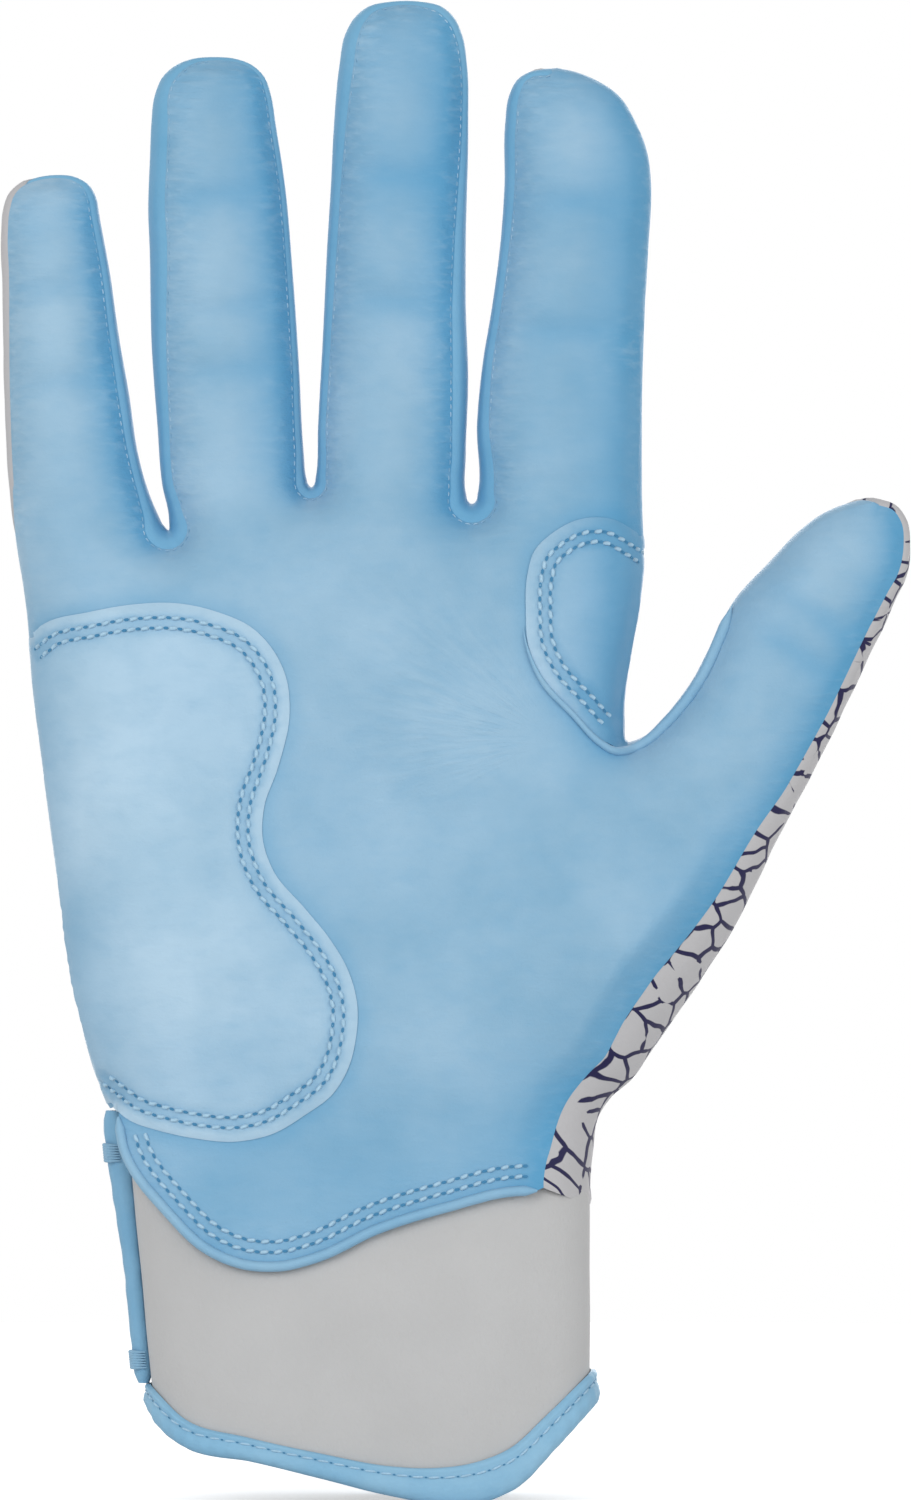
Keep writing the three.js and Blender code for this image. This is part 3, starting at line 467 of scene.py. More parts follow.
def wrist_height(x, right=WRIST_RIGHT):
    """How far the wrist's rounded section stands off the middle at each x."""
    out = np.abs(x) / np.where(x > 0, right, WRIST_LEFT)
    return np.maximum(WRIST_DEPTH * np.clip(1 - out**WRIST_POWER, 0, 1) ** (1 / WRIST_POWER), WRIST_LEAST)


front_loop = np.vstack([seam_flat, palm_edge[1:-1]])
front_height = np.concatenate([-front_seam[:, 1], wrist_height(palm_edge[1:-1, 0])])
flat, tris = panel_mesh(front_loop, cut_lines(seam_flat) + [heel_rim, index_rim], SPACING)
height = swelled(flat, tris, front_loop, front_height, FULL_HEIGHT, SWELL)
skin = [np.column_stack([flat[:, 0], -height, flat[:, 1]])]
skin_tris, skin_parts = [tris], [part_of(flat[tris].mean(1), seam_flat)]
offset = len(flat)
covered = (share > 0.01) & ~gusseted
runs = np.flatnonzero(np.diff(np.concatenate([[0], covered.astype(int), [0]])))
SIDE_BANDS = 9
for first, last in zip(runs[::2], runs[1::2] - 1):
    points, strip, owner, _ = side_grid(first, last, -front_angle, split_angle, 0.0, SEAM_SINK, SIDE_BANDS)
    points[: last - first + 1] = front_seam[first : last + 1]
    skin.append(points)
    skin_tris.append(strip + offset)
    skin_parts.append(segment_part[owner])
    offset += len(points)
skin = np.vstack(skin)
skin, skin_tris, skin_parts, _ = welded(skin, np.vstack(skin_tris), np.concatenate(skin_parts), skin)
skin_normals = vertex_normals(skin, skin_tris)

# What the hand inside does to the leather: the ball of the thumb, the heel and the hollow between,
# the pads of the digits, the creases across their joints, and a rolled edge along every seam.
MOUNDS = ((42, 92, 19, 4.0), (14, 76, 17, 2.4), (-30, 92, 20, 3.0), (4, 114, 15, -2.2), (-6, 152, 13, 0.8),
          (-32, 150, 11, 0.6))
CREASES = {"little": (0.5, 21.5, 36.5, 47), "ring": (0, 16, 26, 44.5), "middle": (-1, 27, 47.5),
           "index": (0, 25, 46), "thumb": (1, 24, 31)}
CREASE_DEPTH, CREASE_WIDTH, BASE_SHARE = 0.36, 2.0, 0.7
CREASE_WAVE, WAVE_RUN = 0.4, 3.1
PAD_RISE, PAD_ABOVE, PAD_WIDTH = 0.45, 4.2, 2.6
RELIEF_RUN, RELIEF_FACING = 6, 1.6
ROLL_RISE, ROLL_IN, ROLL_WIDTH = 0.16, 0.8, 0.6
RIPPLE, FINE_RIPPLE, RIPPLE_RUN = 0.12, 0.045, 2


def bell(offset, width):
    """A smooth hump: 1 where the offset is 0, fading out over the width."""
    return np.exp(-((offset / width) ** 2))


def ripple(points, sizes, shift=(0, 0, 0)):
    """Smooth noise at each point, with features of these sizes along x, y and z."""
    return np.array([noise.noise(tuple(p)) for p in points / sizes + shift])


def hand_relief(points):
    """Height that the hand inside adds to the palm skin at each (x, z)."""
    total = np.zeros(len(points))
    for x, z, size, rise in MOUNDS:
        total += rise * bell(np.hypot(points[:, 0] - x, points[:, 1] - z), size)
    for name, levels in CREASES.items():
        s, across = digit_place(name, points)
        room = np.clip(1 - (across / DIGIT_HALF) ** 2, 0, 1) * (s > DIGIT_FOOT)
        wave = CREASE_WAVE * np.sin(across / WAVE_RUN + 2 * digits[name]["knuckle"])
        for k, level in enumerate(levels):
            depth = CREASE_DEPTH * (BASE_SHARE if k == 0 else 1.0)
            total -= depth * room * bell(s - level + wave, CREASE_WIDTH)
            total += PAD_RISE * depth * room * bell(s - level - PAD_ABOVE, PAD_WIDTH)
    return total


flat_skin = skin[:, [0, 2]]
rolled = tree_of(skin[np.unique(border(skin_tris))])
gap = np.array([rolled.find(tuple(p))[2] for p in skin])
relief = hand_relief(flat_skin) * np.clip(gap / RELIEF_RUN, 0, 1)
relief *= np.clip(-skin_normals[:, 1] * RELIEF_FACING, 0, 1)
relief += ROLL_RISE * bell(gap - ROLL_IN, ROLL_WIDTH)
waves = RIPPLE * ripple(skin, (7, 7, 4.5)) + FINE_RIPPLE * ripple(skin, (4, 4, 1.9), (30, 0, 0))
relief += waves * np.clip(gap / RIPPLE_RUN, 0, 1)
skin = skin + relief[:, None] * skin_normals
skin_normals = vertex_normals(skin, skin_tris)

# The leather's finish: one sheepskin, dyed pale blue and dressed soft, for all the leather pieces.
# To the eye it is a satin blue that clouds a little, with a tight grain and drape lines that gather
# at the seams. Its colour carries painted shade and painted highlights, from the tone attribute and along
# the drape and pull lines. Patterns are sized in millimetres at rest.
CLOUD, MOTTLE, MOTTLE_TALL, DRAPE, DRAPE_FLAT, GRAIN = 22, 4.5, 1.7, 1.1, 0.3, 0.55
DRAPE_DEPTH, GRAIN_DEPTH, PULL_DEPTH = 0.16, 0.05, 0.22
# The tint of the leather's gloss, and the pale blue that painted highlights lighten it towards.
SHEEN_BLUE, PAINTED_HIGHLIGHT_BLUE = "#a9cde6", "#b9d3e3"


def linear(code):
    """A hex sRGB colour as linear RGBA."""
    values = [int(code[k : k + 2], 16) / 255 for k in (1, 3, 5)]
    return [v / 12.92 if v <= 0.04045 else ((v + 0.055) / 1.055) ** 2.4 for v in values] + [1.0]


def node(tree, kind, links=None, out=0, **settings):
    """Adds a shader node with its settings, socket values and links, and gives one of its outputs."""
    made = tree.nodes.new("ShaderNode" + kind)
    for key, value in settings.items():
        setattr(made, key, value)
    for key, value in (links or {}).items():
        if isinstance(value, bpy.types.NodeSocket):
            tree.links.new(value, made.inputs[key])
        else:
            made.inputs[key].default_value = value
    return made.outputs[out]


def finish(name, roughness, sheen=0.0, specular=0.5):
    """An empty finish: its node tree, its shader and the place of a point at rest, in millimetres."""
    material = bpy.data.materials.new(name)
    material.use_nodes = True
    tree = material.node_tree
    shader = tree.nodes["Principled BSDF"]
    shader.inputs["Roughness"].default_value = roughness
    shader.inputs["Sheen Weight"].default_value = sheen
    shader.inputs["Specular IOR Level"].default_value = specular
    return material, tree, shader, node(tree, "Attribute", out="Vector", attribute_name="rest_mm")


# Lines that the index overlay's seam draws into the palm: they spread out from it like a fan.
# They are bumped, and painted with highlight and shade along them.
PULL_FROM, PULL_NEAR, PULL_FAR = (31.0, 0.0, 124.0), (4.0, 10.0), (42.0, 22.0)
PULL_TURNS = ((-0.6, -0.2), (1.2, 0.7))
PULL_PITCH, PULL_LONG, PULL_PAINTED_LIGHT = 0.5, 8.0, 0.13


def pull_lines(tree, rest):
    """The fan of lines, from 0 to 1, and how strongly it shows at each place."""
    flat_place = node(tree, "VectorMath", {0: rest, 1: (1, 0, 1)}, operation="MULTIPLY")
    away = node(tree, "VectorMath", {0: flat_place, 1: PULL_FROM}, operation="SUBTRACT")
    length = node(tree, "VectorMath", {0: away}, "Value", operation="LENGTH")
    rightward = node(tree, "SeparateXYZ", {0: away}, "X")
    leftward = node(tree, "Math", {0: rightward, 1: -1.0}, operation="MULTIPLY")
    turn = node(tree, "Math", {0: rightward.node.outputs["Z"], 1: leftward}, operation="ARCTAN2")
    arc = node(tree, "Math", {0: turn, 1: PULL_NEAR[1] / PULL_PITCH}, operation="MULTIPLY")
    run = node(tree, "Math", {0: length, 1: 1 / PULL_LONG}, operation="MULTIPLY")
    place = node(tree, "CombineXYZ", {0: arc, 1: run})
    lines = node(tree, "TexNoise", {"Vector": place, "Scale": 1.0})
    room = node(tree, "MapRange", {0: length, 1: PULL_NEAR[0], 2: PULL_NEAR[1]})
    for value, (none, full) in ((length, PULL_FAR), (turn, PULL_TURNS[0]), (turn, PULL_TURNS[1])):
        shown = node(tree, "MapRange", {0: value, 1: none, 2: full})
        room = node(tree, "Math", {0: room, 1: shown}, operation="MULTIPLY")
    return lines, room


def leather(name, main, deep, pale, pulls=False):
    """Sheepskin in these blues; pulls adds the lines that a seam draws into it."""
    material, tree, shader, rest = finish(name, 0.46, specular=0.3)
    shader.inputs["Specular Tint"].default_value = linear(SHEEN_BLUE)
    cloud = node(tree, "TexNoise", {"Vector": rest, "Scale": 1 / CLOUD, "Detail": 3.0})
    clouded = node(tree, "MapRange", {0: cloud, 1: 0.35, 2: 0.65})
    tall = node(tree, "VectorMath", {0: rest, 1: (1, 1, MOTTLE_TALL)}, operation="MULTIPLY")
    mottle = node(tree, "TexNoise", {"Vector": tall, "Scale": 1 / MOTTLE, "Detail": 3.0, "Roughness": 0.55})
    mottled = node(tree, "MapRange", {0: mottle, 1: 0.45, 2: 0.8, 4: 0.14})
    # Painted light: tone deepens the blue as painted shade and, below 0, pales it as painted highlight.
    tone = node(tree, "Attribute", out="Fac", attribute_name="tone")
    painted_highlight = node(tree, "Math", {0: tone, 1: -1.0}, operation="MULTIPLY")
    tints = [(clouded, pale), (mottled, deep), (tone, deep), (painted_highlight, PAINTED_HIGHLIGHT_BLUE)]
    # Drape lines: bumped, and painted with highlight and shade where the pucker attribute gathers them.
    level = node(tree, "VectorMath", {0: rest, 1: (DRAPE_FLAT, DRAPE_FLAT, 1)}, operation="MULTIPLY")
    drape = node(tree, "TexNoise", {"Vector": level, "Scale": 1 / DRAPE, "Roughness": 0.55})
    gathered = node(tree, "Attribute", out="Fac", attribute_name="pucker")
    drape_painted_light = node(tree, "MapRange", {0: gathered, 3: 0.03, 4: 0.3})
    for end, other in ((0.8, PAINTED_HIGHLIGHT_BLUE), (0.2, deep)):
        draped = node(tree, "MapRange", {0: drape, 1: 0.5, 2: end})
        tints.append((node(tree, "Math", {0: draped, 1: drape_painted_light}, operation="MULTIPLY"), other))
    fold = node(tree, "MapRange", {0: gathered, 3: 0.4, 4: 2.5})
    folds = node(tree, "Math", {0: drape, 1: fold}, operation="MULTIPLY")
    grain = node(tree, "TexNoise", {"Vector": rest, "Scale": 1 / GRAIN, "Detail": 3.0, "Roughness": 0.6})
    heights = [(folds, DRAPE_DEPTH), (grain, GRAIN_DEPTH)]
    # Pull lines: bumped, and painted with highlight and shade.
    if pulls:
        lines, room = pull_lines(tree, rest)
        for end, other in ((0.75, PAINTED_HIGHLIGHT_BLUE), (0.25, deep)):
            drawn = node(tree, "MapRange", {0: lines, 1: 0.5, 2: end, 4: PULL_PAINTED_LIGHT})
            tints.append((node(tree, "Math", {0: drawn, 1: room}, operation="MULTIPLY"), other))
        heights.append((node(tree, "Math", {0: lines, 1: room}, operation="MULTIPLY"), PULL_DEPTH))
    colour = linear(main)
    for amount, other in tints:
        colour = node(tree, "Mix", {0: amount, 6: colour, 7: linear(other)}, 2, data_type="RGBA")
    tree.links.new(colour, shader.inputs["Base Color"])
    facing = {}
    for height, depth in heights:
        facing = {"Normal": node(tree, "Bump", {"Height": height, "Distance": depth * MM, **facing})}
    tree.links.new(facing["Normal"], shader.inputs["Normal"])
    return material


# A piece under construction: points in millimetres with their facing, faces and finishes.
# A panel has an outer face, a lining and an edge; rolls and plates are closed; each carries its own sewing.
# Once made it rides a body of the frame, or is left where it is made.
class Piece:
    def __init__(self):
        self.points, self.normals, self.tone, self.pucker, self.rest = [], [], [], [], []
        self.faces, self.finishes = [], []
        self.count = 0

    def add(self, points, normals, faces, material, tone=0.0, rest=None, pucker=0.0):
        """Adds a patch of surface; tone deepens its colour and pucker gathers its drape lines."""
        self.points.append(np.asarray(points, float))
        self.rest.append(self.points[-1] if rest is None else rest)
        self.normals.append(np.asarray(normals, float))
        self.tone.append(np.broadcast_to(tone, len(points)))
        self.pucker.append(np.broadcast_to(pucker, len(points)))
        self.faces += [tuple(int(k) + self.count for k in face) for face in faces]
        self.finishes += [material] * len(faces)
        self.count += len(points)


def shell(piece, points, normals, tris, thickness, material, tone=0.0, rim=None, thin=0.35, rest=None,
          pucker=0.0):
    """A panel with thickness, thinned where it is sewn: outer face, lining and the edge between."""
    used, local = np.unique(tris, return_inverse=True)
    local = local.reshape(tris.shape)
    outer, facing = points[used], normals[used]
    edges = border(local)
    depth = np.array(np.broadcast_to(thickness, len(points)), float)[used]
    depth[np.unique(edges)] *= thin
    inner = outer - depth[:, None] * facing
    shade = np.broadcast_to(tone, len(points))[used]
    place = None if rest is None else rest[used]
    piece.add(outer, facing, local, material, shade, place, np.broadcast_to(pucker, len(points))[used])
    piece.add(inner, -facing, local[:, ::-1], material, shade, place)
    away = np.zeros_like(outer)
    sideways = np.cross(outer[edges[:, 1]] - outer[edges[:, 0]], facing[edges[:, 0]])
    np.add.at(away, edges[:, 0], sideways)
    np.add.at(away, edges[:, 1], sideways)
    away = unit(away)
    ring, index = np.unique(edges, return_inverse=True)
    index, count = index.reshape(edges.shape), len(ring)
    walls = [(b, a, a + count, b + count) for a, b in index]
    piece.add(np.vstack([outer[ring], inner[ring]]), np.vstack([away[ring]] * 2), walls, rim or material,
              np.tile(shade[ring], 2), None if rest is None else np.vstack([place[ring]] * 2))


def make(name, piece):
    """The finished object, in the row frame."""
    points = np.vstack(piece.points)
    mesh = bpy.data.meshes.new(name)
    mesh.from_pydata((points * MM).tolist(), [], piece.faces)
    order = list(dict.fromkeys(piece.finishes))
    for material in order:
        mesh.materials.append(material)
    index = {material: k for k, material in enumerate(order)}
    mesh.polygons.foreach_set("material_index", [index[m] for m in piece.finishes])
    mesh.polygons.foreach_set("use_smooth", [True] * len(mesh.polygons))
    rest = mesh.attributes.new("rest_mm", "FLOAT_VECTOR", "POINT")
    rest.data.foreach_set("vector", np.vstack(piece.rest).astype(np.float32).ravel())
    for key, values in (("tone", piece.tone), ("pucker", piece.pucker)):
        attribute = mesh.attributes.new(key, "FLOAT", "POINT")
        attribute.data.foreach_set("value", np.concatenate(values).astype(np.float32))
    mesh.normals_split_custom_set_from_vertices(np.vstack(piece.normals).tolist())
    mesh.update()
    made = bpy.data.objects.new(name, mesh)
    bpy.context.scene.collection.objects.link(made)
    return made


def place_on_frame(made, part):
    """Rides the hand if the part name says so; any other part is left in place."""
    if part == "hand":
        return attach(made, "hand")
    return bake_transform(made)


# Thread: fine filament polyester, each machine stitch a short rounded bar that dips into its needle holes.
# To the eye it is a satin line with painted shade where its twist turns away, broken by a painted shadow:
# a small dark dish set in each needle hole.
# A stitch is a row of rings: how far along it, lift and width, both in shares of the thread's half width.
TWIST, DRAWN = 0.35, 6.0
THREAD_SIDES, SLANT = 6, 0.3
STITCH = ((0.0, -0.45, 0.4), (0.16, 0.35, 0.9), (0.5, 0.6, 1.0), (0.84, 0.35, 0.9), (1.0, -0.45, 0.4))
HOLE_LONG, HOLE_WIDE, HOLE_RIM, HOLE_FLOOR = 1.3, 0.75, 0.14, 0.02


def thread(name, main, sunk=0.0):
    """A thread's finish; sunk is how far it is lost in the leather where the seam draws it under."""
    material, tree, shader, rest = finish(name, 0.5, sheen=0.1, specular=0.3)
    twist = node(tree, "TexNoise", {"Vector": rest, "Scale": 1 / TWIST, "Detail": 1.0})
    # Painted shade where the twist turns away.
    twist_shade = node(tree, "MapRange", {0: twist, 1: 0.3, 2: 0.7, 4: 0.25})
    drawn = node(tree, "TexNoise", {"Vector": rest, "Scale": 1 / DRAWN})
    lost = node(tree, "MapRange", {0: drawn, 1: 0.42, 2: 0.56, 4: sunk})
    colour = linear(main)
    for amount, other in ((twist_shade, "#6d97b4"), (lost, "#75a8c8")):
        colour = node(tree, "Mix", {0: amount, 6: colour, 7: linear(other)}, 2, data_type="RGBA")
    tree.links.new(colour, shader.inputs["Base Color"])
    return material


pale_thread = thread("pale blue thread", "#acd0e6")
# Needle holes: a painted shadow, a dark finish for the small dishes set in each hole.
painted_hole_shadow, _, shader, _ = finish("needle hole shadow", 0.9, specular=0.1)
shader.inputs["Base Color"].default_value = linear("#4b87b0")


def stitches(piece, points, normals, pitch, bar, thick, material, holes=True):
    """A row of stitches along a line of points that lies on a surface with these normals."""
    distance = along(points)
    count = max(1, round(distance[-1] / pitch))
    pitch = distance[-1] / count
    starts = pitch * np.arange(count) + (pitch - bar) / 2

    def at(s, rows):
        return np.column_stack([np.interp(s, distance, rows[:, k]) for k in range(3)])

    a, b = at(starts, points), at(starts + bar, points)
    up = unit(at(starts + bar / 2, normals))
    way = unit(b - a)
    side = np.cross(up, way)
    a, b = a - SLANT * thick * side, b + SLANT * thick * side
    ring = np.arange(THREAD_SIDES) * 2 * math.pi / THREAD_SIDES
    verts, facing = [], []
    for reach, lift, width in STITCH:
        centre = a + reach * (b - a) + lift * thick * up
        for angle in ring:
            ray = math.cos(angle) * side + math.sin(angle) * up
            verts.append(centre + width * thick * ray)
            facing.append(ray)
    per = len(verts)
    verts = np.stack(verts, 1).reshape(-1, 3)
    facing = np.stack(facing, 1).reshape(-1, 3)
    faces = []
    for base in range(0, count * per, per):
        for row in range(base, base + per - THREAD_SIDES, THREAD_SIDES):
            above = row + THREAD_SIDES
            for k in range(THREAD_SIDES):
                n = (k + 1) % THREAD_SIDES
                faces.append((row + k, row + n, above + n, above + k))
        faces.append(tuple(base + THREAD_SIDES - 1 - k for k in range(THREAD_SIDES)))
        faces.append(tuple(base + per - THREAD_SIDES + k for k in range(THREAD_SIDES)))
    piece.add(verts, facing, faces, material)
    if not holes:
        return
    # A painted shadow in each needle hole: a small dark dish.
    slopes = [(k, (k + 1) % THREAD_SIDES, THREAD_SIDES) for k in range(THREAD_SIDES)]
    for p, n, u, w in zip(at(starts - (pitch - bar) / 2, points), up, way, side):
        spokes = [HOLE_LONG * math.cos(t) * u + HOLE_WIDE * math.sin(t) * w for t in ring]
        rim = [p + HOLE_RIM * n + thick * spoke for spoke in spokes]
        piece.add([*rim, p + HOLE_FLOOR * n], [n] * (THREAD_SIDES + 1), slopes, painted_hole_shadow)


class Surface:
    """A skin that lines can be laid on: the height and facing at an (x, z) from its nearest points."""

    NEAR, SOFT = 7, 0.05

    def __init__(self, points, normals):
        self.points, self.normals = points, normals
        self.tree = tree_of(np.column_stack([points[:, 0], points[:, 2]]))

    def lay(self, line, lift=0.0):
        """The line's (x, z) as points on the skin, lifted off it, and the skin's facing at each."""
        laid, facing = [], []
        for x, z in line:
            near = [k for _, k, _ in self.tree.find_n((x, z, 0), self.NEAR)]
            p, n = self.points[near], self.normals[near]
            weight = 1 / (np.hypot(p[:, 0] - x, p[:, 2] - z) ** 2 + self.SOFT)
            up = (weight[:, None] * n).sum(0)
            up = up / np.linalg.norm(up)
            centre = (weight[:, None] * p).sum(0) / weight.sum()
            y = centre[1] - ((x - centre[0]) * up[0] + (z - centre[2]) * up[2]) / up[1]
            laid.append(np.array([x, y, z]) + lift * up)
            facing.append(up)
        return np.array(laid), np.array(facing)


# The palm panel: the swelled skin of blue sheepskin, cut across the digits where the frame's bodies meet.
# Its colour carries painted shade by the seams, in the creases, beside the overlays, on the sides turned
# to the thumb, far from the heel and low on the palm, and painted highlights on the pads and in soft spots.
# A row of small stitches shows beside the gussets.
blue_leather = leather("sheepskin dyed pale blue", "#86afca", "#569cc6", "#9abdd5", pulls=True)
PANEL_THICK, PALM_FACING = 0.8, 0.15
SEAM_DEEP, SEAM_DEEP_RUN, SEAM_TURN = 0.3, 3.5, (0.6, 0.15)
SIDE_DEEP, SIDE_TURN, SIDE_POWER = 0.62, 1.5, 1.2
CREASE_DEEP, CREASE_RUN, CREASE_HALF = 0.3, 2.2, 7
PAD_PALE, PAD_UP, PAD_RUN = 0.2, 10, 5
HEEL, FAR_DEEP, FAR_FROM, FAR_RUN = (-25, 105), 0.2, 60, 70
LOW_DEEP, LOW_FROM, LOW_RUN = 0.3, 76, 22
RIM_DEEP, RIM_RUN = 0.3, 2.0
TONE_LIMITS = (-0.3, 0.9)
palm_front = skin_normals[:, 1] < -PALM_FACING
palm_surface = Surface(skin[palm_front], skin_normals[palm_front])
turned = skin_normals[:, 0]
# Painted shade along the seams, more on skin turned towards the thumb side, and on the sides turned that
# way.
tone = SEAM_DEEP * bell(gap, SEAM_DEEP_RUN) * np.clip(SEAM_TURN[0] + turned, SEAM_TURN[1], 1)
tone += SIDE_DEEP * np.clip(SIDE_TURN * turned, 0, 1) ** SIDE_POWER
# Painted shade in the creases of the digits, and painted highlights on the pads above them.
for name, levels in CREASES.items():
    s, across = digit_place(name, flat_skin)
    room = bell(across, CREASE_HALF)
    for level in levels[1:]:
        tone += CREASE_DEEP * room * bell(s - level, CREASE_RUN)
        tone -= PAD_PALE * room * bell(s - level - PAD_UP, PAD_RUN)
# Painted shade growing away from the heel and towards the lower edge, and painted shadow beside each
# overlay.
from_heel = np.hypot(flat_skin[:, 0] - HEEL[0], flat_skin[:, 1] - HEEL[1])
tone += FAR_DEEP * np.clip((from_heel - FAR_FROM) / FAR_RUN, 0, 1)
tone += LOW_DEEP * np.clip((LOW_FROM - flat_skin[:, 1]) / LOW_RUN, 0, 1)
for rim in (heel_rim, index_rim):
    tone += RIM_DEEP * bell(distance_to(flat_skin, rim), RIM_RUN)
# Painted highlights, and one painted shade, in soft spots: x, z, half sizes, turn, tone.
PAINTED_LIGHT_SPOTS = ((57, 117, 20, 9, 1.0, -0.2), (-26, 186, 24, 6, 1.5, -0.12), (6, 177, 20, 7, 1.5, -0.2),
             (6, 214, 18, 9, 1.5, 0.2), (4, 140, 24, 14, 0.3, -0.1), (-50, 190, 26, 7, 1.4, -0.3))
for x, z, long, wide, turn, amount in PAINTED_LIGHT_SPOTS:
    near, far = flat_skin[:, 0] - x, flat_skin[:, 1] - z
    u, v = near * math.cos(turn) + far * math.sin(turn), far * math.cos(turn) - near * math.sin(turn)
    tone += amount * bell(u, long) * bell(v, wide)
tone = np.clip(tone, *TONE_LIMITS)
# Where the drape lines gather, near the seams and most on the fingers: bumped, and painted with highlight
# and shade.
GATHER_RUN, GATHER_FOOT, GATHER_HAND = 5, -4, 0.3
on_finger = np.zeros(len(skin), bool)
for name in DIGITS[:4]:
    s, across = digit_place(name, flat_skin)
    on_finger |= (s > GATHER_FOOT) & (np.abs(across) < DIGIT_HALF)
gather = bell(gap, GATHER_RUN) * np.where(on_finger, 1.0, GATHER_HAND)
SEAM_PITCH, SEAM_BAR, SEAM_THREAD, SEAM_ROW, SEAM_SHOWS = 1.35, 0.8, 0.11, 0.3, 0.28
seam_thread = thread("blue seam thread", "#abcce1", 0.85)


def seam_stitches(piece, chosen, surface, line, material):
    """Small stitches along each run of a line that the chosen samples of the outline make."""
    for run in np.split(chosen, np.flatnonzero(np.diff(chosen) > 1) + 1):
        if len(run) > 1:
            run = np.append(run, min(run[-1] + 1, SAMPLES - 1))
            laid, facing = surface.lay(line[run])
            stitches(piece, laid, facing, SEAM_PITCH, SEAM_BAR, SEAM_THREAD, material, False)


front_pieces = {}
for part in dict.fromkeys(skin_parts):
    piece = front_pieces[part] = Piece()
    part_tris = skin_tris[skin_parts == part]
    shell(piece, skin, skin_normals, part_tris, PANEL_THICK, blue_leather, tone, pucker=gather)
    shown = np.flatnonzero((segment_part == part) & gusseted & (inset > SEAM_SHOWS))
    seam_stitches(piece, shown, palm_surface, seam_flat - SEAM_ROW * outward, seam_thread)
# The palm's own two rows of topstitching above its lower edge hold it to the cuff.
ROW_PITCH, ROW_BAR, ROW_THREAD, ROW_LEVELS = 2.3, 1.35, 0.36, (2.3, 4.0)
edge_way = np.gradient(palm_edge, axis=0)
edge_up = unit(np.column_stack([edge_way[:, 1], -edge_way[:, 0]]))
for level in ROW_LEVELS:
    laid, facing = palm_surface.lay((palm_edge + level * edge_up)[3:-4])
    stitches(front_pieces["hand"], laid, facing, ROW_PITCH, ROW_BAR, ROW_THREAD, pale_thread)
for part, piece in front_pieces.items():
    name, stood_for = part + "_leather", part.replace("_lower", "_palm_leather")
    if part == "hand":
        name, stood_for = "palm_leather_panel", "palm_leather"
    elif part.endswith("_tip"):
        name, stood_for = part + "_leather_panel", part + "_leather"
    made = make(name, piece)
    place_on_frame(made, part)
    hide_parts(stood_for)

# The two overlays: second layers of the same leather sewn over the heel of the hand and the index base.
# Each is cut from the palm skin's own surface, lifted by its thickness, with a raw cut edge.
# Two rows of topstitching pull the edge down, and the middle stays full over thin padding.
patch_leather = leather("sheepskin overlay", "#9dbfd6", "#4d95bf", "#b2cfe3")
cut_leather = leather("raw cut leather edge", "#9ab9ce", "#76a1be", "#a5c1d2")
PATCH_THICK, PATCH_CROWN, CROWN_FROM, CROWN_RUN, CROWN_POWER = 0.95, 0.8, 4.5, 9, 0.7
PATCH_LEAST, PATCH_CLEAR, PATCH_PAST, PATCH_FACING, PATCH_TURN = 0.2, 0.05, 2.0, 0.1, 1.5
RIM_DROP, RIM_DROP_RUN, ROW_DIP, ROW_DIP_RUN = 0.75, 0.9, 0.4, 0.65
ROW_DEEP, ROW_DEEP_RUN, PALE_RUN = 0.3, 0.8, 1.3
RIGHT_DEEP, LEFT_DEEP, LEFT_POWER = 0.6, 0.3, 1.5
WEB_FROM, WEB_RUN = 28, 14
PATCH_TONES = (-0.5, 0.8)
# Painted light on the heel overlay: a broad painted shade, a streak of painted highlights, shade low down;
# x, z, size, tone.
HEEL_PAINTED_LIGHT = ((-28, 108, 40, 0.14), (-44, 131, 9, -0.22), (-36, 110, 13, -0.42), (-28, 88, 12, -0.25),
              (-22, 70, 14, 0.14))


def inner_row(rim, level, run_out):
    """The rim line moved to its right-hand side, and run on straight at its ends."""
    way = unit(np.gradient(rim, axis=0))
    row = rim + level * np.column_stack([way[:, 1], -way[:, 0]])
    row = np.vstack([row[0] - run_out[0] * way[0], row, row[-1] + run_out[1] * way[-1]])
    return resample(row, along(row), STEP)


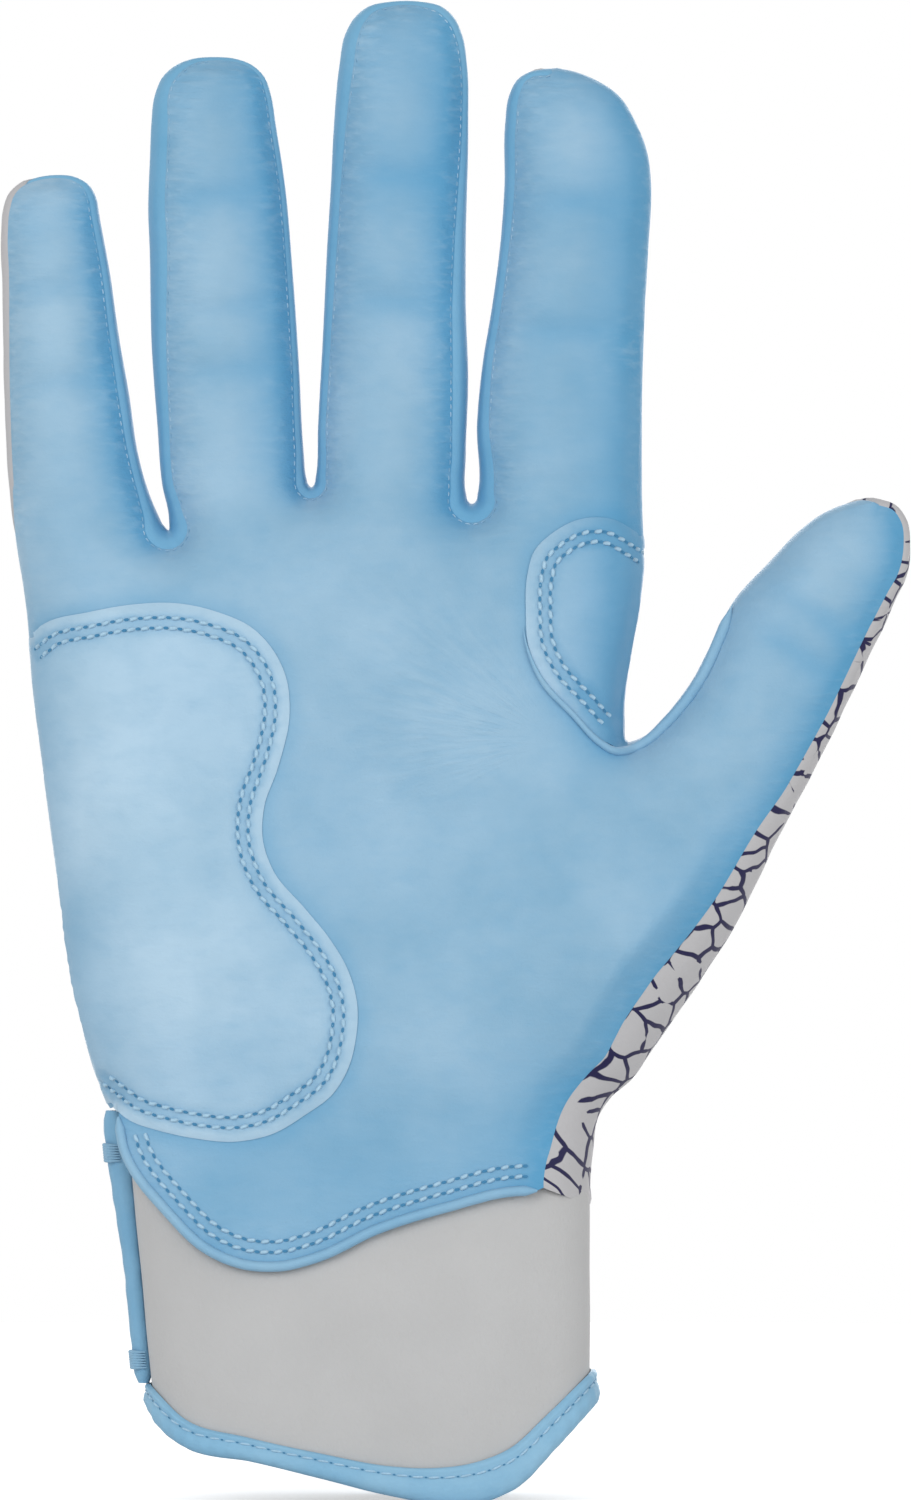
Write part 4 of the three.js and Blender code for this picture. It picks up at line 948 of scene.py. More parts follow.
def overlay(name, rim, hand, stitched, run_out, web_painted_shade, painted_rim_highlight, places, stood_for):
    """A second layer from a rim line out to the side of the hand; hand says which side of the rim it is."""
    ends = [int(np.argmin(((seam_flat - rim[k]) ** 2).sum(1))) for k in (0, -1)]
    order = np.arange(ends[1], ends[0], 1 if ends[0] > ends[1] else -1)
    outer_side = (silhouette + PATCH_PAST * outward)[np.append(order, ends[0])]
    area = np.vstack([seam_flat[ends[0]], rim[1:-1], seam_flat[ends[1]], outer_side])
    tris = skin_tris[inside(skin[skin_tris].mean(1)[:, [0, 2]], area)]
    flat = skin[:, [0, 2]]
    from_rim = distance_to(flat, rim)
    rows = [inner_row(rim[stitched], hand * level, run_out) for level in ROW_LEVELS]
    from_rows = [distance_to(flat, row) for row in rows]
    lift = PATCH_THICK + PATCH_CROWN * np.clip((from_rim - CROWN_FROM) / CROWN_RUN, 0, 1) ** CROWN_POWER
    lift -= RIM_DROP * bell(from_rim, RIM_DROP_RUN)
    lift *= np.clip(-PATCH_TURN * skin_normals[:, 1], PATCH_LEAST, 1)
    for from_row in from_rows:
        lift -= ROW_DIP * bell(from_row, ROW_DIP_RUN)
    top = skin + lift[:, None] * skin_normals
    normals = vertex_normals(top, tris)
    # Painted light: shade along the stitch rows and on the sides turned away, a highlight on the raised
    # rim, shade towards the thumb web, and the highlights and shade at the places given.
    shade = ROW_DEEP * sum(bell(from_row, ROW_DEEP_RUN) for from_row in from_rows)
    shade -= painted_rim_highlight * np.exp(-((from_rim / PALE_RUN) ** 4))
    shade += RIGHT_DEEP * np.clip(skin_normals[:, 0], 0, 1)
    shade += LEFT_DEEP * np.clip(-skin_normals[:, 0], 0, 1) ** LEFT_POWER
    shade += web_painted_shade * np.clip((flat[:, 0] - WEB_FROM) / WEB_RUN, 0, 1)
    for x, z, size, amount in places:
        shade += amount * bell(np.hypot(flat[:, 0] - x, flat[:, 1] - z), size)
    shade = np.clip(shade, *PATCH_TONES)
    depth = np.maximum(lift, PATCH_LEAST) - PATCH_CLEAR
    piece = Piece()
    shell(piece, top, normals, tris, depth, patch_leather, shade, cut_leather, 1.0)
    used = np.unique(tris)
    used = used[normals[used][:, 1] < -PATCH_FACING]
    surface = Surface(top[used], normals[used])
    for row in rows:
        laid, facing = surface.lay(row)
        stitches(piece, laid, facing, ROW_PITCH, ROW_BAR, ROW_THREAD, pale_thread)
    made = make(name, piece)
    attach(made, "hand")
    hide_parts(stood_for)


overlay("heel_overlay", heel_rim, 1, slice(2, -2), (2.2, 4.8), 0.0, 0.35, HEEL_PAINTED_LIGHT, "heel_patch")
index_rows = slice(1, int(0.92 * len(index_rim)))
overlay("index_overlay", index_rim, -1, index_rows, (2.5, 0.0), 0.6, 0.1, (), "index_patch")

# Pipings: narrow strips of the leather rolled round a cord and caught in a seam.
# One finishes the palm's lower edge; the other follows the seam through the thumb crotch,
# full in the crotch and thinning out where it runs on along the index overlay.
rolled_leather = leather("rolled leather strip", "#80b0d0", "#5594c0", "#92bad4")
CROTCH_SEAM = ((59.9, 146), (57.5, 140), (54.3, 133.4), (49.2, 126.8), (45.4, 123.4), (42, 122),
               (39.8, 122.1), (38, 123.2), (33.1, 128.3), (28.2, 133.7), (25.7, 139.7), (25.2, 142.7))
PIPE_SIDES, PIPE_END = 10, 0.25
EDGE_ROLL, EDGE_LIFT = 0.85, 0.25
CROTCH_STEP, CROTCH_LIFT, CROTCH_FROM, CROTCH_RUN, CROTCH_SIZES = 0.8, 0.35, 24, 22, (0.5, 1.1)
CROTCH_RUN_IN, CROTCH_RUN_OUT, CROTCH_END = 4, 12, 0.1


def piping(piece, points, normals, size, material, flatten=0.85, run_in=2.5, span=slice(None)):
    """A rolled strip along a span of a line on a surface, tapered over the run-in at the line's ends."""
    way = unit(np.gradient(points, axis=0))
    side = unit(np.cross(normals, way))
    up = np.cross(way, side)
    distance = along(points)
    taper = np.clip(np.minimum(distance, distance[-1] - distance) / run_in + PIPE_END, 0, 1)
    verts, facing = [], []
    for k in range(PIPE_SIDES):
        t = 2 * math.pi * k / PIPE_SIDES
        ray = math.cos(t) * side + flatten * math.sin(t) * up
        verts.append((points + (size * taper)[:, None] * ray)[span])
        facing.append(ray[span])
    rows = len(verts[0])
    faces = []
    for k in range(PIPE_SIDES):
        n = (k + 1) % PIPE_SIDES
        faces += [(k * rows + i, n * rows + i, n * rows + i + 1, k * rows + i + 1) for i in range(rows - 1)]
    faces.append([k * rows for k in range(PIPE_SIDES)][::-1])
    faces.append([k * rows + rows - 1 for k in range(PIPE_SIDES)])
    piece.add(np.vstack(verts), np.vstack(facing), faces, material)


piece = Piece()
laid, facing = palm_surface.lay(palm_edge[1:-1], EDGE_LIFT)
piping(piece, laid, facing, EDGE_ROLL, rolled_leather)
made = make("palm_edge_roll", piece)
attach(made, "hand")
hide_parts("palm_edge_piping")
crotch = spline(CROTCH_SEAM, CROTCH_STEP)
crotch_part = part_of(crotch, seam_flat)
laid, facing = palm_surface.lay(crotch, CROTCH_LIFT)
run_in = along(crotch)
run_out = run_in[-1] - run_in
roll_size = np.clip((crotch[:, 0] - CROTCH_FROM) / CROTCH_RUN, *CROTCH_SIZES)
roll_size *= np.clip(np.minimum(run_in / CROTCH_RUN_IN, run_out / CROTCH_RUN_OUT) + CROTCH_END, 0, 1)
for part in dict.fromkeys(crotch_part):
    chosen = np.flatnonzero(crotch_part == part)
    span = slice(max(chosen[0] - 1, 0), chosen[-1] + 1)
    piece = Piece()
    piping(piece, laid, facing, roll_size, rolled_leather, span=span)
    made = make("thumb_crotch_roll" + ("" if part == "hand" else "_" + part), piece)
    place_on_frame(made, part)
    if part == "hand":
        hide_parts("thumb_seam_piping")

# Gussets between the fingers: strips of the same leather that make the sides of each finger.
# One strip runs down a finger, round the crotch and up the next, seamed to palm and back.
# Its blue carries painted shade for the gap between the fingers: deeper where the strip faces away from the
# palm.
gusset_leather = leather("sheepskin gusset", "#74aed1", "#559bc4", "#7eb4d5")
GUSSET_BANDS, GUSSET_DEEP, GUSSET_TURN = 10, 0.6, 1.6
WEBS = {"little_ring": "ring_left", "ring_middle": "middle_left", "middle_index": "index_left"}
first, last = np.flatnonzero(gusseted)[[0, -1]]
strip, strip_tris, owner, _ = side_grid(first, last + 1, -front_angle, split_angle, SEAM_SINK, SEAM_SINK,
                                        GUSSET_BANDS)
strip_normals = vertex_normals(strip, strip_tris)
# Painted shade, deepening as the strip turns away from the palm.
strip_painted_shade = GUSSET_DEEP * np.clip(1 + GUSSET_TURN * strip_normals[:, 1], 0, 1)
crotches = np.array([np.flatnonzero(stretch == after)[0] for after in WEBS.values()])
for part in dict.fromkeys(segment_part[first : last + 1]):
    own = segment_part[owner] == part
    chosen, column = strip_tris[own], owner[own]
    if part.endswith("_tip"):
        groups = {part + "_fourchette": column >= 0}
    elif part == "hand":
        nearest = np.argmin(np.abs(column[:, None] - crotches[None, :]), axis=1)
        groups = {"web_gusset_" + name: nearest == k for k, name in enumerate(WEBS)}
    else:
        digit = part.split("_")[0]
        right = column > np.mean(digits[digit]["cuts"][1])
        groups = {digit + "_fourchette_left": ~right, digit + "_fourchette_right": right}
    for stood_for, members in groups.items():
        if members.any():
            piece = Piece()
            shell(piece, strip, strip_normals, chosen[members], PANEL_THICK, gusset_leather, strip_painted_shade)
            made = make(stood_for + "_strip", piece)
            place_on_frame(made, part)
            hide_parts(stood_for)

# The back: one panel of thin stretch synthetic over the back of the hand and digits.
# It is printed with a crackle of navy lines on pale grey and wraps forward round the thumb's side.
# It swells and puckers over the knuckles, and two rows of stitches hold its lower edge to the cuff.
BACK_HEIGHT, BACK_SPACING, BACK_RIGHT, SETTLE, BACK_FACING = 14.2, 1.7, 37.0, 8.0, 0.15
BACK_ROLL, BACK_ROLL_IN, BACK_ROLL_WIDTH = 0.25, 1.1, 0.8
BACK_RIPPLE, BACK_RIPPLE_RUN = 0.16, 3
KNUCKLE_BASE, KNUCKLE_END, KNUCKLE_FACING = -6, 20, 0.2
KNUCKLE_RISE, KNUCKLE_LONG, PUCKER_DIP, PUCKER_LONG = 0.5, 5.5, 0.22, 1.2
BACK_ROWS, GREY_THREAD = (1.6, 3.3), 0.2
foot_z = np.where(back_seam[:, 0] > 0, back_seam[-1, 2], back_seam[0, 2])
settle = np.clip(1 - (back_seam[:, 2] - foot_z) / SETTLE, 0, 1)
back_seam[:, 1] += settle * (wrist_height(back_seam[:, 0], BACK_RIGHT) - back_seam[:, 1])
back_flat = back_seam[:, [0, 2]]
back_edge = straight(back_flat[-1], back_flat[0])
back_loop = np.vstack([back_flat, back_edge[1:-1]])
back_depth = np.concatenate([back_seam[:, 1], wrist_height(back_edge[1:-1, 0], BACK_RIGHT)])
flat, tris = panel_mesh(back_loop, cut_lines(back_flat), BACK_SPACING)
height = swelled(flat, tris, back_loop, back_depth, BACK_HEIGHT, SWELL)
back = [np.column_stack([flat[:, 0], height, flat[:, 1]])]
back_tris, back_parts = [tris[:, ::-1]], [part_of(flat[tris].mean(1), back_flat)]
print_place = [np.column_stack([flat[:, 0], np.zeros(len(flat)), flat[:, 1]])]
offset = len(flat)
runs = np.flatnonzero(np.diff(np.concatenate([[0], (~closed).astype(int), [0]])))
for first, last in zip(runs[::2], runs[1::2] - 1):
    first, last = max(first - 1, 0), min(last + 1, SAMPLES - 1)
    side = side_grid(first, last, split_angle, back_angle, SEAM_SINK, 0.0, SIDE_BANDS)
    points, strip, owner, unrolled = side
    points[-(last - first + 1) :] = back_seam[first : last + 1]
    back.append(points)
    print_place.append(unrolled)
    back_tris.append(strip + offset)
    back_parts.append(segment_part[owner])
    offset += len(points)
back, back_tris, back_parts, print_place = welded(
    np.vstack(back), np.vstack(back_tris), np.concatenate(back_parts), np.vstack(print_place))
back_normals = vertex_normals(back, back_tris)
rolled = tree_of(back[np.unique(border(back_tris))])
gap = np.array([rolled.find(tuple(p))[2] for p in back])
relief = BACK_ROLL * bell(gap - BACK_ROLL_IN, BACK_ROLL_WIDTH)
relief += BACK_RIPPLE * ripple(back, (9, 9, 5), (0, 50, 0)) * np.clip(gap / BACK_RIPPLE_RUN, 0, 1)
for name in DIGITS:
    s, across = digit_place(name, back[:, [0, 2]])
    room = np.clip(1 - (across / DIGIT_HALF) ** 2, 0, 1) * (back_normals[:, 1] > KNUCKLE_FACING)
    knuckle = digits[name]["knuckle"]
    for level in (KNUCKLE_BASE, knuckle, knuckle + KNUCKLE_END):
        relief += KNUCKLE_RISE * room * bell(s - level, KNUCKLE_LONG)
        relief -= PUCKER_DIP * room * bell(s - level, PUCKER_LONG)
back = back + relief[:, None] * back_normals
back_normals = vertex_normals(back, back_tris)
# Printed stretch synthetic: a matt pale grey that navy lines crack into cells; some lines fade out.
# The print follows each point's place in the flat panel; the weave is drawn as coarse as it needs to show.
printed_back, tree, shader, rest = finish("printed stretch synthetic", 0.6, sheen=0.1, specular=0.3)
GREY, NAVY = "#bcbbbd", "#120e42"
CELL, LINE, LINE_EDGE, BREAK, PLAIN_SIDE = 4.6, 0.36, 0.012, 5.0, (-53.5, -51.5)
WARP, WARP_SIZE, WEAVE, WEAVE_DEPTH = 2.4, 4.5, 0.5, 0.06
flat_print = node(tree, "VectorRotate", {"Vector": rest, "Angle": math.pi / 2}, rotation_type="X_AXIS")
warp = node(tree, "TexNoise", {"Vector": rest, "Scale": 1 / WARP_SIZE, "Detail": 1.0}, 1)
bent = node(tree, "VectorMath", {0: warp, 1: (WARP,) * 3, 2: flat_print}, operation="MULTIPLY_ADD")
scaled = node(tree, "VectorMath", {0: bent, 1: (1 / CELL,) * 3}, operation="MULTIPLY")
cells = node(tree, "TexVoronoi", {"Vector": scaled, "Scale": 1.0, "Randomness": 1.0}, "Distance",
             feature="DISTANCE_TO_EDGE", voronoi_dimensions="2D")
broken = node(tree, "TexNoise", {"Vector": rest, "Scale": 1 / BREAK, "Detail": 1.0})
line = node(tree, "MapRange", {0: broken, 1: 0.37, 2: 0.43, 3: -0.03, 4: LINE / CELL})
over = node(tree, "Math", {0: cells, 1: line}, operation="SUBTRACT")
ink = node(tree, "MapRange", {0: over, 1: LINE_EDGE, 2: -LINE_EDGE})
sideways = node(tree, "SeparateXYZ", {0: rest})
inked = node(tree, "MapRange", {0: sideways, 1: PLAIN_SIDE[0], 2: PLAIN_SIDE[1]})
ink = node(tree, "Math", {0: ink, 1: inked}, operation="MULTIPLY")
colour = node(tree, "Mix", {0: ink, 6: linear(GREY), 7: linear(NAVY)}, 2, data_type="RGBA")
tree.links.new(colour, shader.inputs["Base Color"])
weave = node(tree, "TexNoise", {"Vector": rest, "Scale": 1 / WEAVE})
facing = node(tree, "Bump", {"Height": weave, "Distance": WEAVE_DEPTH * MM})
tree.links.new(facing, shader.inputs["Normal"])
grey_thread = thread("grey thread", "#b9bcc0")
outer_back = back_normals[:, 1] > BACK_FACING
back_surface = Surface(back[outer_back], back_normals[outer_back])
for part in dict.fromkeys(back_parts):
    piece = Piece()
    part_tris = back_tris[back_parts == part]
    shell(piece, back, back_normals, part_tris, PANEL_THICK, printed_back, rest=print_place)
    shown = np.flatnonzero((segment_part == part) & closed)
    seam_stitches(piece, shown, back_surface, back_flat - SEAM_ROW * outward, grey_thread)
    stood_for = part.replace("_lower", "") + "_back"
    if part == "hand":
        stood_for = "back_panel"
        for level in BACK_ROWS:
            laid, facing = back_surface.lay(back_edge[3:-3] + (0, level))
            stitches(piece, laid, facing, ROW_PITCH, ROW_BAR, GREY_THREAD, grey_thread)
    made = make(part + "_back_panel", piece)
    place_on_frame(made, part)
    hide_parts(stood_for)

# The cuff: a sleeve of neoprene faced with fine knit, open along a slit at the back.
# Its upper edge runs up under the palm and the back, tucked in, and is sewn to both.
# Its lower edge dips in the middle and is bound.
CUFF_DEPTH, CUFF_RIGHT, CUFF_LEFT, CUFF_SPREAD, CUFF_POWER = 16.7, 36.3, 33.6, 0.095, 3.0
NEOPRENE, SLIT, COLUMNS, CUFF_ROWS, ROUND = 2.0, (13.5, 17.5), 260, 34, 4000
CUFF_MID, HEM_MID, HEM_OUT, IN_HEM = 40.0, 15.0, 1.2, 1.2
UNDER, TUCK, TUCK_FROM, SIDE_RUN, CUFF_RIPPLE = 13, 0.42, 1.5, 12, 0.1
HEM_LOW = ((-40, 19), (-36.5, 15.2), (-34.7, 11.7), (-30.4, 8.8), (-20.1, 7), (-8, 4.3), (4.1, 1.5),
           (13.1, 0.1), (19.1, 0.3), (24.1, 2.1), (31.3, 8.8), (38, 15.4), (40, 17))
HEM_TOP = ((-40, 21.5), (-36.2, 18.8), (-30.4, 13.6), (-20.1, 11), (-8, 8.5), (4.1, 6.4), (10.1, 6.1),
           (18, 7), (23.4, 9), (30.1, 14.6), (36.2, 20), (40, 23))


def cuff_left(z):
    """Half the cuff's width on the little-finger side, which spreads towards the hand."""
    return CUFF_LEFT + CUFF_SPREAD * z


def wrist_point(angle, z, grow):
    """A point of the wrist's rounded section, from the right (0) through the back (a quarter turn)."""
    c, s = np.cos(angle), np.sin(angle)
    half = np.where(c > 0, CUFF_RIGHT, cuff_left(z)) + grow
    deep = CUFF_DEPTH + grow
    x = half * np.sign(c) * np.abs(c) ** (2 / CUFF_POWER)
    y = deep * np.sign(s) * np.abs(s) ** (2 / CUFF_POWER)
    return np.column_stack([x, y, np.broadcast_to(z, x.shape)])


def wrist_angles(start, end, count):
    """Angles that step evenly round the section from one (x, y) to another, clockwise from above."""
    fine = np.linspace(0, -2 * math.pi, ROUND + 1) + math.pi / 2
    ring = wrist_point(fine, CUFF_MID, 0.0)
    first, last = [np.argmin(np.hypot(ring[:, 0] - x, ring[:, 1] - y)) for x, y in (start, end)]
    if last <= first:
        fine = np.concatenate([fine, fine[1:] - 2 * math.pi])
        ring = np.vstack([ring, ring[1:]])
        last += ROUND
    distance = along(ring[first : last + 1])
    return np.interp(np.linspace(0, distance[-1], count), distance, fine[first : last + 1])


def round_tris(rows, columns):
    """Triangles of a grid whose columns run clockwise round the wrist and whose rows rise."""
    return grid_tris(rows, columns)[:, [0, 2, 1]]


around = wrist_angles((SLIT[1], CUFF_DEPTH), (SLIT[0], CUFF_DEPTH), COLUMNS)
girth = wrist_point(around, CUFF_MID, 0.0)
front_edge = palm_edge[np.argsort(palm_edge[:, 0])]
front_top = np.interp(girth[:, 0], front_edge[:, 0], front_edge[:, 1])
back_top = np.interp(girth[:, 0], silhouette[[0, -1], 0], silhouette[[0, -1], 1])
behind = np.clip(girth[:, 1] / SIDE_RUN + 0.5, 0, 1)
edge_z = front_top * (1 - behind) + back_top * behind
hem_x = wrist_point(around, HEM_MID, HEM_OUT)[:, 0]
hem_bottom, hem_top = [np.interp(hem_x, *spline(line, 0.5).T) for line in (HEM_LOW, HEM_TOP)]
low_z = hem_bottom + IN_HEM
cuff = []
for r in range(CUFF_ROWS):
    z = low_z + (edge_z + UNDER - low_z) * r / (CUFF_ROWS - 1)
    cuff.append(wrist_point(around, z, -TUCK * np.maximum(0, z - edge_z + TUCK_FROM)))
cuff = np.vstack(cuff)
cuff_tris = round_tris(CUFF_ROWS, COLUMNS)
cuff = cuff + CUFF_RIPPLE * ripple(cuff, (14, 14, 11))[:, None] * vertex_normals(cuff, cuff_tris)
# Neoprene with a knit face: an even, matt mid grey with a soft edge to the light and a very fine rib.
neoprene, tree, shader, rest = finish("knit faced neoprene", 0.8, sheen=0.25, specular=0.2)
SHADE, KNIT, KNIT_TALL, KNIT_DEPTH = 14, 0.45, 0.6, 0.08
shade = node(tree, "TexNoise", {"Vector": rest, "Scale": 1 / SHADE})
shaded = node(tree, "MapRange", {0: shade, 1: 0.3, 2: 0.7})
colour = node(tree, "Mix", {0: shaded, 6: linear("#c1c1c1"), 7: linear("#bdbdbd")}, 2, data_type="RGBA")
tree.links.new(colour, shader.inputs["Base Color"])
ribbed = node(tree, "VectorMath", {0: rest, 1: (1, 1, KNIT_TALL)}, operation="MULTIPLY")
knit = node(tree, "TexNoise", {"Vector": ribbed, "Scale": 1 / KNIT, "Detail": 1.0})
facing = node(tree, "Bump", {"Height": knit, "Distance": KNIT_DEPTH * MM})
tree.links.new(facing, shader.inputs["Normal"])
piece = Piece()
shell(piece, cuff, vertex_normals(cuff, cuff_tris), cuff_tris, NEOPRENE, neoprene, thin=1.0)
made = make("neoprene_cuff", piece)
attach(made, "hand")
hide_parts("wrist_cuff")

# Hem binding: a strip of the blue leather folded round the cuff's lower edge and stitched through.
# It rolls over the edge, puckers a little at the stitches and stops either side of the slit.
# Its section runs over the outside, under the edge and up the inside: how far out, how far up its height.
SECTION = ((0.15, 1.0), (0.85, 0.98), (1.1, 0.88), (0.8, 0.74), (1.3, 0.58), (1.5, 0.38), (1.25, 0.18),
           (0.6, 0.05), (-0.4, 0.0), (-1.6, 0.0), (-2.7, 0.06), (-3.2, 0.2), (-3.3, 0.5), (-3.1, 0.9),
           (-2.3, 1.0))
GROOVE, HEM_PITCH, HEM_BAR, HEM_THREAD, HEM_LIFT = 3, 2.6, 1.7, 0.2, 0.1
HEM_PUCKER, HEM_WAVE, HEM_WAVE_RUN = 0.07, 0.05, 3.7
hem_leather = leather("leather binding strip", "#84b5d4", "#4f90bc", "#92bed9")
distance = along(girth[:, :2])
pucker = 1 + HEM_PUCKER * np.sin(2 * math.pi * distance / HEM_PITCH)
pucker += HEM_WAVE * np.sin(distance / HEM_WAVE_RUN)
hem = []
for out, rise in reversed(SECTION):
    z = hem_bottom + rise * (hem_top - hem_bottom)
    hem.append(wrist_point(around, z, out * (pucker if out > 0 else 1.0)))
hem = np.vstack(hem)
hem_tris = round_tris(len(SECTION), COLUMNS)
hem_normals = vertex_normals(hem, hem_tris)
piece = Piece()
caps = [list(range(0, len(hem), COLUMNS))[::-1], list(range(COLUMNS - 1, len(hem), COLUMNS))]
piece.add(hem, hem_normals, [*hem_tris, *caps], hem_leather)
out, rise = SECTION[GROOVE]
row = wrist_point(around, hem_bottom + rise * (hem_top - hem_bottom), out + HEM_LIFT)
groove = (len(SECTION) - 1 - GROOVE) * COLUMNS
stitches(piece, row, hem_normals[groove : groove + COLUMNS], HEM_PITCH, HEM_BAR, HEM_THREAD, pale_thread)
made = make("hem_binding_roll", piece)
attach(made, "hand")
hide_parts("cuff_hem_binding")

# The closure strap: a neoprene band sewn to the back beside the slit, drawn across it to the other side.
# It comes round to the little-finger edge, clear of the cuff by the thickness of its fastening in between.
# Grey rows run along its edges, and two across it hold the sewn end.
STRAP_LOW, STRAP_HIGH, STRAP_THICK, STRAP_END, ANCHOR_X = 20.5, 60.0, 1.5, -1.0, 24.0
STRAP_COLUMNS, STRAP_ROWS, ANCHOR_POINTS = 90, 26, 40
CLEAR_X, CLEAR = (-36.5, -31, -22, 10, 20, 24), (0.5, 0.9, 2.85, 2.85, 2.1, 1.8)
SIDE_CLEAR, SIDE_FROM = 0.5, 2
EDGE_DROP, EDGE_DROP_RUN, EDGE_ROW, ANCHOR_ROW, ANCHOR_ROWS = 0.5, 1.0, 2.2, 2.5, (3, 6)
run_round = wrist_angles((-cuff_left(CUFF_MID), STRAP_END), (ANCHOR_X, CUFF_DEPTH), STRAP_COLUMNS)
strap_line = wrist_point(run_round, CUFF_MID, 0.0)
on_back = np.clip((strap_line[:, 1] - SIDE_FROM) / SIDE_RUN, 0, 1)
clear = SIDE_CLEAR + (np.interp(strap_line[:, 0], CLEAR_X, CLEAR) - SIDE_CLEAR) * on_back


def strap_face(columns, z_values):
    """Rows of points on the strap's outer face, at these columns of its run round the wrist."""
    return np.vstack([wrist_point(run_round[columns], z, clear[columns] + STRAP_THICK) for z in z_values])


every = np.arange(STRAP_COLUMNS)
strap = strap_face(every, np.linspace(STRAP_LOW, STRAP_HIGH, STRAP_ROWS))
strap_tris = round_tris(STRAP_ROWS, STRAP_COLUMNS)
from_edge = np.minimum(strap[:, 2] - STRAP_LOW, STRAP_HIGH - strap[:, 2])
strap = strap - EDGE_DROP * bell(from_edge, EDGE_DROP_RUN)[:, None] * vertex_normals(strap, strap_tris)
piece = Piece()
shell(piece, strap, vertex_normals(strap, strap_tris), strap_tris, STRAP_THICK, neoprene, thin=0.6)
for z in (STRAP_LOW + EDGE_ROW, STRAP_HIGH - EDGE_ROW):
    laid = strap_face(every, [z])
    facing = unit(np.cross((0, 0, 1), np.gradient(laid, axis=0)))
    stitches(piece, laid, facing, ROW_PITCH, ROW_BAR, GREY_THREAD, grey_thread)
for from_end in ANCHOR_ROWS:
    column = np.array([STRAP_COLUMNS - from_end])
    laid = strap_face(column, np.linspace(STRAP_LOW + ANCHOR_ROW, STRAP_HIGH - ANCHOR_ROW, ANCHOR_POINTS))
    facing = np.tile((0.0, 1.0, 0.0), (ANCHOR_POINTS, 1))
    stitches(piece, laid, facing, ROW_PITCH, ROW_BAR, GREY_THREAD, grey_thread)
made = make("strap_band", piece)
x, y, z = joints["strap_peel"]["pos_m"]
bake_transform(made)
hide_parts("closure_strap")

# The bound end of the strap: the same blue strip rolled over the strap's end, seen from the palm side.
# It leans out a little towards the hand, and a bar tack of close thread bars holds it at each end.
# Its section runs round the strap's end: how far out from its face, how far past its end.
binding_thread = thread("blue binding thread", "#8db8d4")
BOUND = ((0.1, -4.2), (0.55, -4.1), (0.75, -2.5), (0.8, -1.0), (0.65, 0.3), (0.1, 1.35), (-0.8, 1.7),
         (-1.7, 1.45), (-2.2, 0.5), (-2.25, -1.0), (-2.2, -4.1))
BOUND_ROWS, BOUND_LOW, BOUND_HIGH, BOUND_MID, BOUND_DEEP = 60, STRAP_LOW - 1.6, STRAP_HIGH + 3.4, 0.7, 0.25
BOUND_LEAN, LEAN_FROM, LEAN_RISE = 1.1, 38, 18
END_ROUND, END_RUN = 0.4, 0.9
BOUND_WAVES = ((0.03, 2 * math.pi / 5.3), (0.02, 1.7))
BARS, BAR_STEP, BAR_THICK, BAR_LIFT, BAR_POINT = 7, 0.42, 0.34, 0.9, 0.5
BAR_FOOT = (STRAP_LOW + 1.0, STRAP_HIGH - 4.7)
BAR_PATH = ((2.4, -2.0), (0.6, -1.9), (-0.1, -0.6), (-0.1, 1.4))


def bound_face(z, lift=0.0):
    """Where the outer face of the strap's end stands at a height."""
    return wrist_point(np.array([math.pi]), z, SIDE_CLEAR + STRAP_THICK + lift)[0, 0]


def bound_lean(z):
    """How far the bound end leans out at a height."""
    return BOUND_LEAN * min(max((z - LEAN_FROM) / LEAN_RISE, 0), 1)


inmost, outmost = min(BOUND)[0], max(BOUND)[0]
bound = []
for z in np.linspace(BOUND_LOW, BOUND_HIGH, BOUND_ROWS):
    wave = 1 + sum(size * math.sin(z * rate) for size, rate in BOUND_WAVES)
    keep = 1 - END_ROUND * (bell(z - BOUND_LOW, END_RUN) + bell(z - BOUND_HIGH, END_RUN))
    for out, ahead in BOUND:
        lean = bound_lean(z) * (out - inmost) / (outmost - inmost)
        x = bound_face(z) - lean - (out + BOUND_MID) * wave * keep + BOUND_MID
        bound.append((x, STRAP_END - ahead * keep, z))
bound = np.array(bound)
bound_tris = grid_tris(BOUND_ROWS, len(BOUND), ring=True)
caps = [list(range(len(BOUND)))[::-1], list(range(len(bound) - len(BOUND), len(bound)))]
piece = Piece()
piece.add(bound, vertex_normals(bound, bound_tris), [*bound_tris, *caps], hem_leather, BOUND_DEEP)
for foot in BAR_FOOT:
    for z in foot + BAR_STEP * np.arange(BARS):
        x = bound_face(z, BAR_LIFT) - bound_lean(foot)
        bar = np.array([(x + out, STRAP_END + ahead, z) for out, ahead in BAR_PATH])
        bar = resample(bar, along(bar), BAR_POINT)
        piping(piece, bar, np.tile((-0.5, -0.8, 0.0), (len(bar), 1)), BAR_THICK, binding_thread, 1.0)
made = make("strap_end_roll", piece)
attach(made, "strap")
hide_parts("strap_end_binding")

# Hook and loop: a square of woven nylon loop sewn on the cuff and a square of hook tape under the strap.
# The loop is a fuzzy pile; the hooks are stiff bent stems in rows, drawn as coarse as they need to show.
# The two squares face each other and hold the strap closed.
TAPE_X, TAPE_HALF, TAPE_Z, TAPE_COUNT, TAPE_THICK = -6.0, 13.0, 40.6, 40, 0.85
PILE, PILE_HEIGHT, LOOP_LIFT, HOOK_LIFT = 0.9, 0.16, 1.15, 2.35
HOOK_STEP, HOOK_HALF, HOOK_DOWN, HOOK_UP = 3, 0.13, (0, 0.25, 0.42, 0.3), (0, 0, 0.12, 0.3)
# Nylon hook and loop: a dull grey with a soft sheen; its small shadows are painted, darker where the pile
# dips.
hook_and_loop, tree, shader, rest = finish("nylon hook and loop", 0.7, sheen=0.4, specular=0.3)
FUZZ, FUZZ_DEPTH = 0.8, 0.3
fuzz = node(tree, "TexNoise", {"Vector": rest, "Scale": 1 / FUZZ, "Detail": 3.0, "Roughness": 0.7})
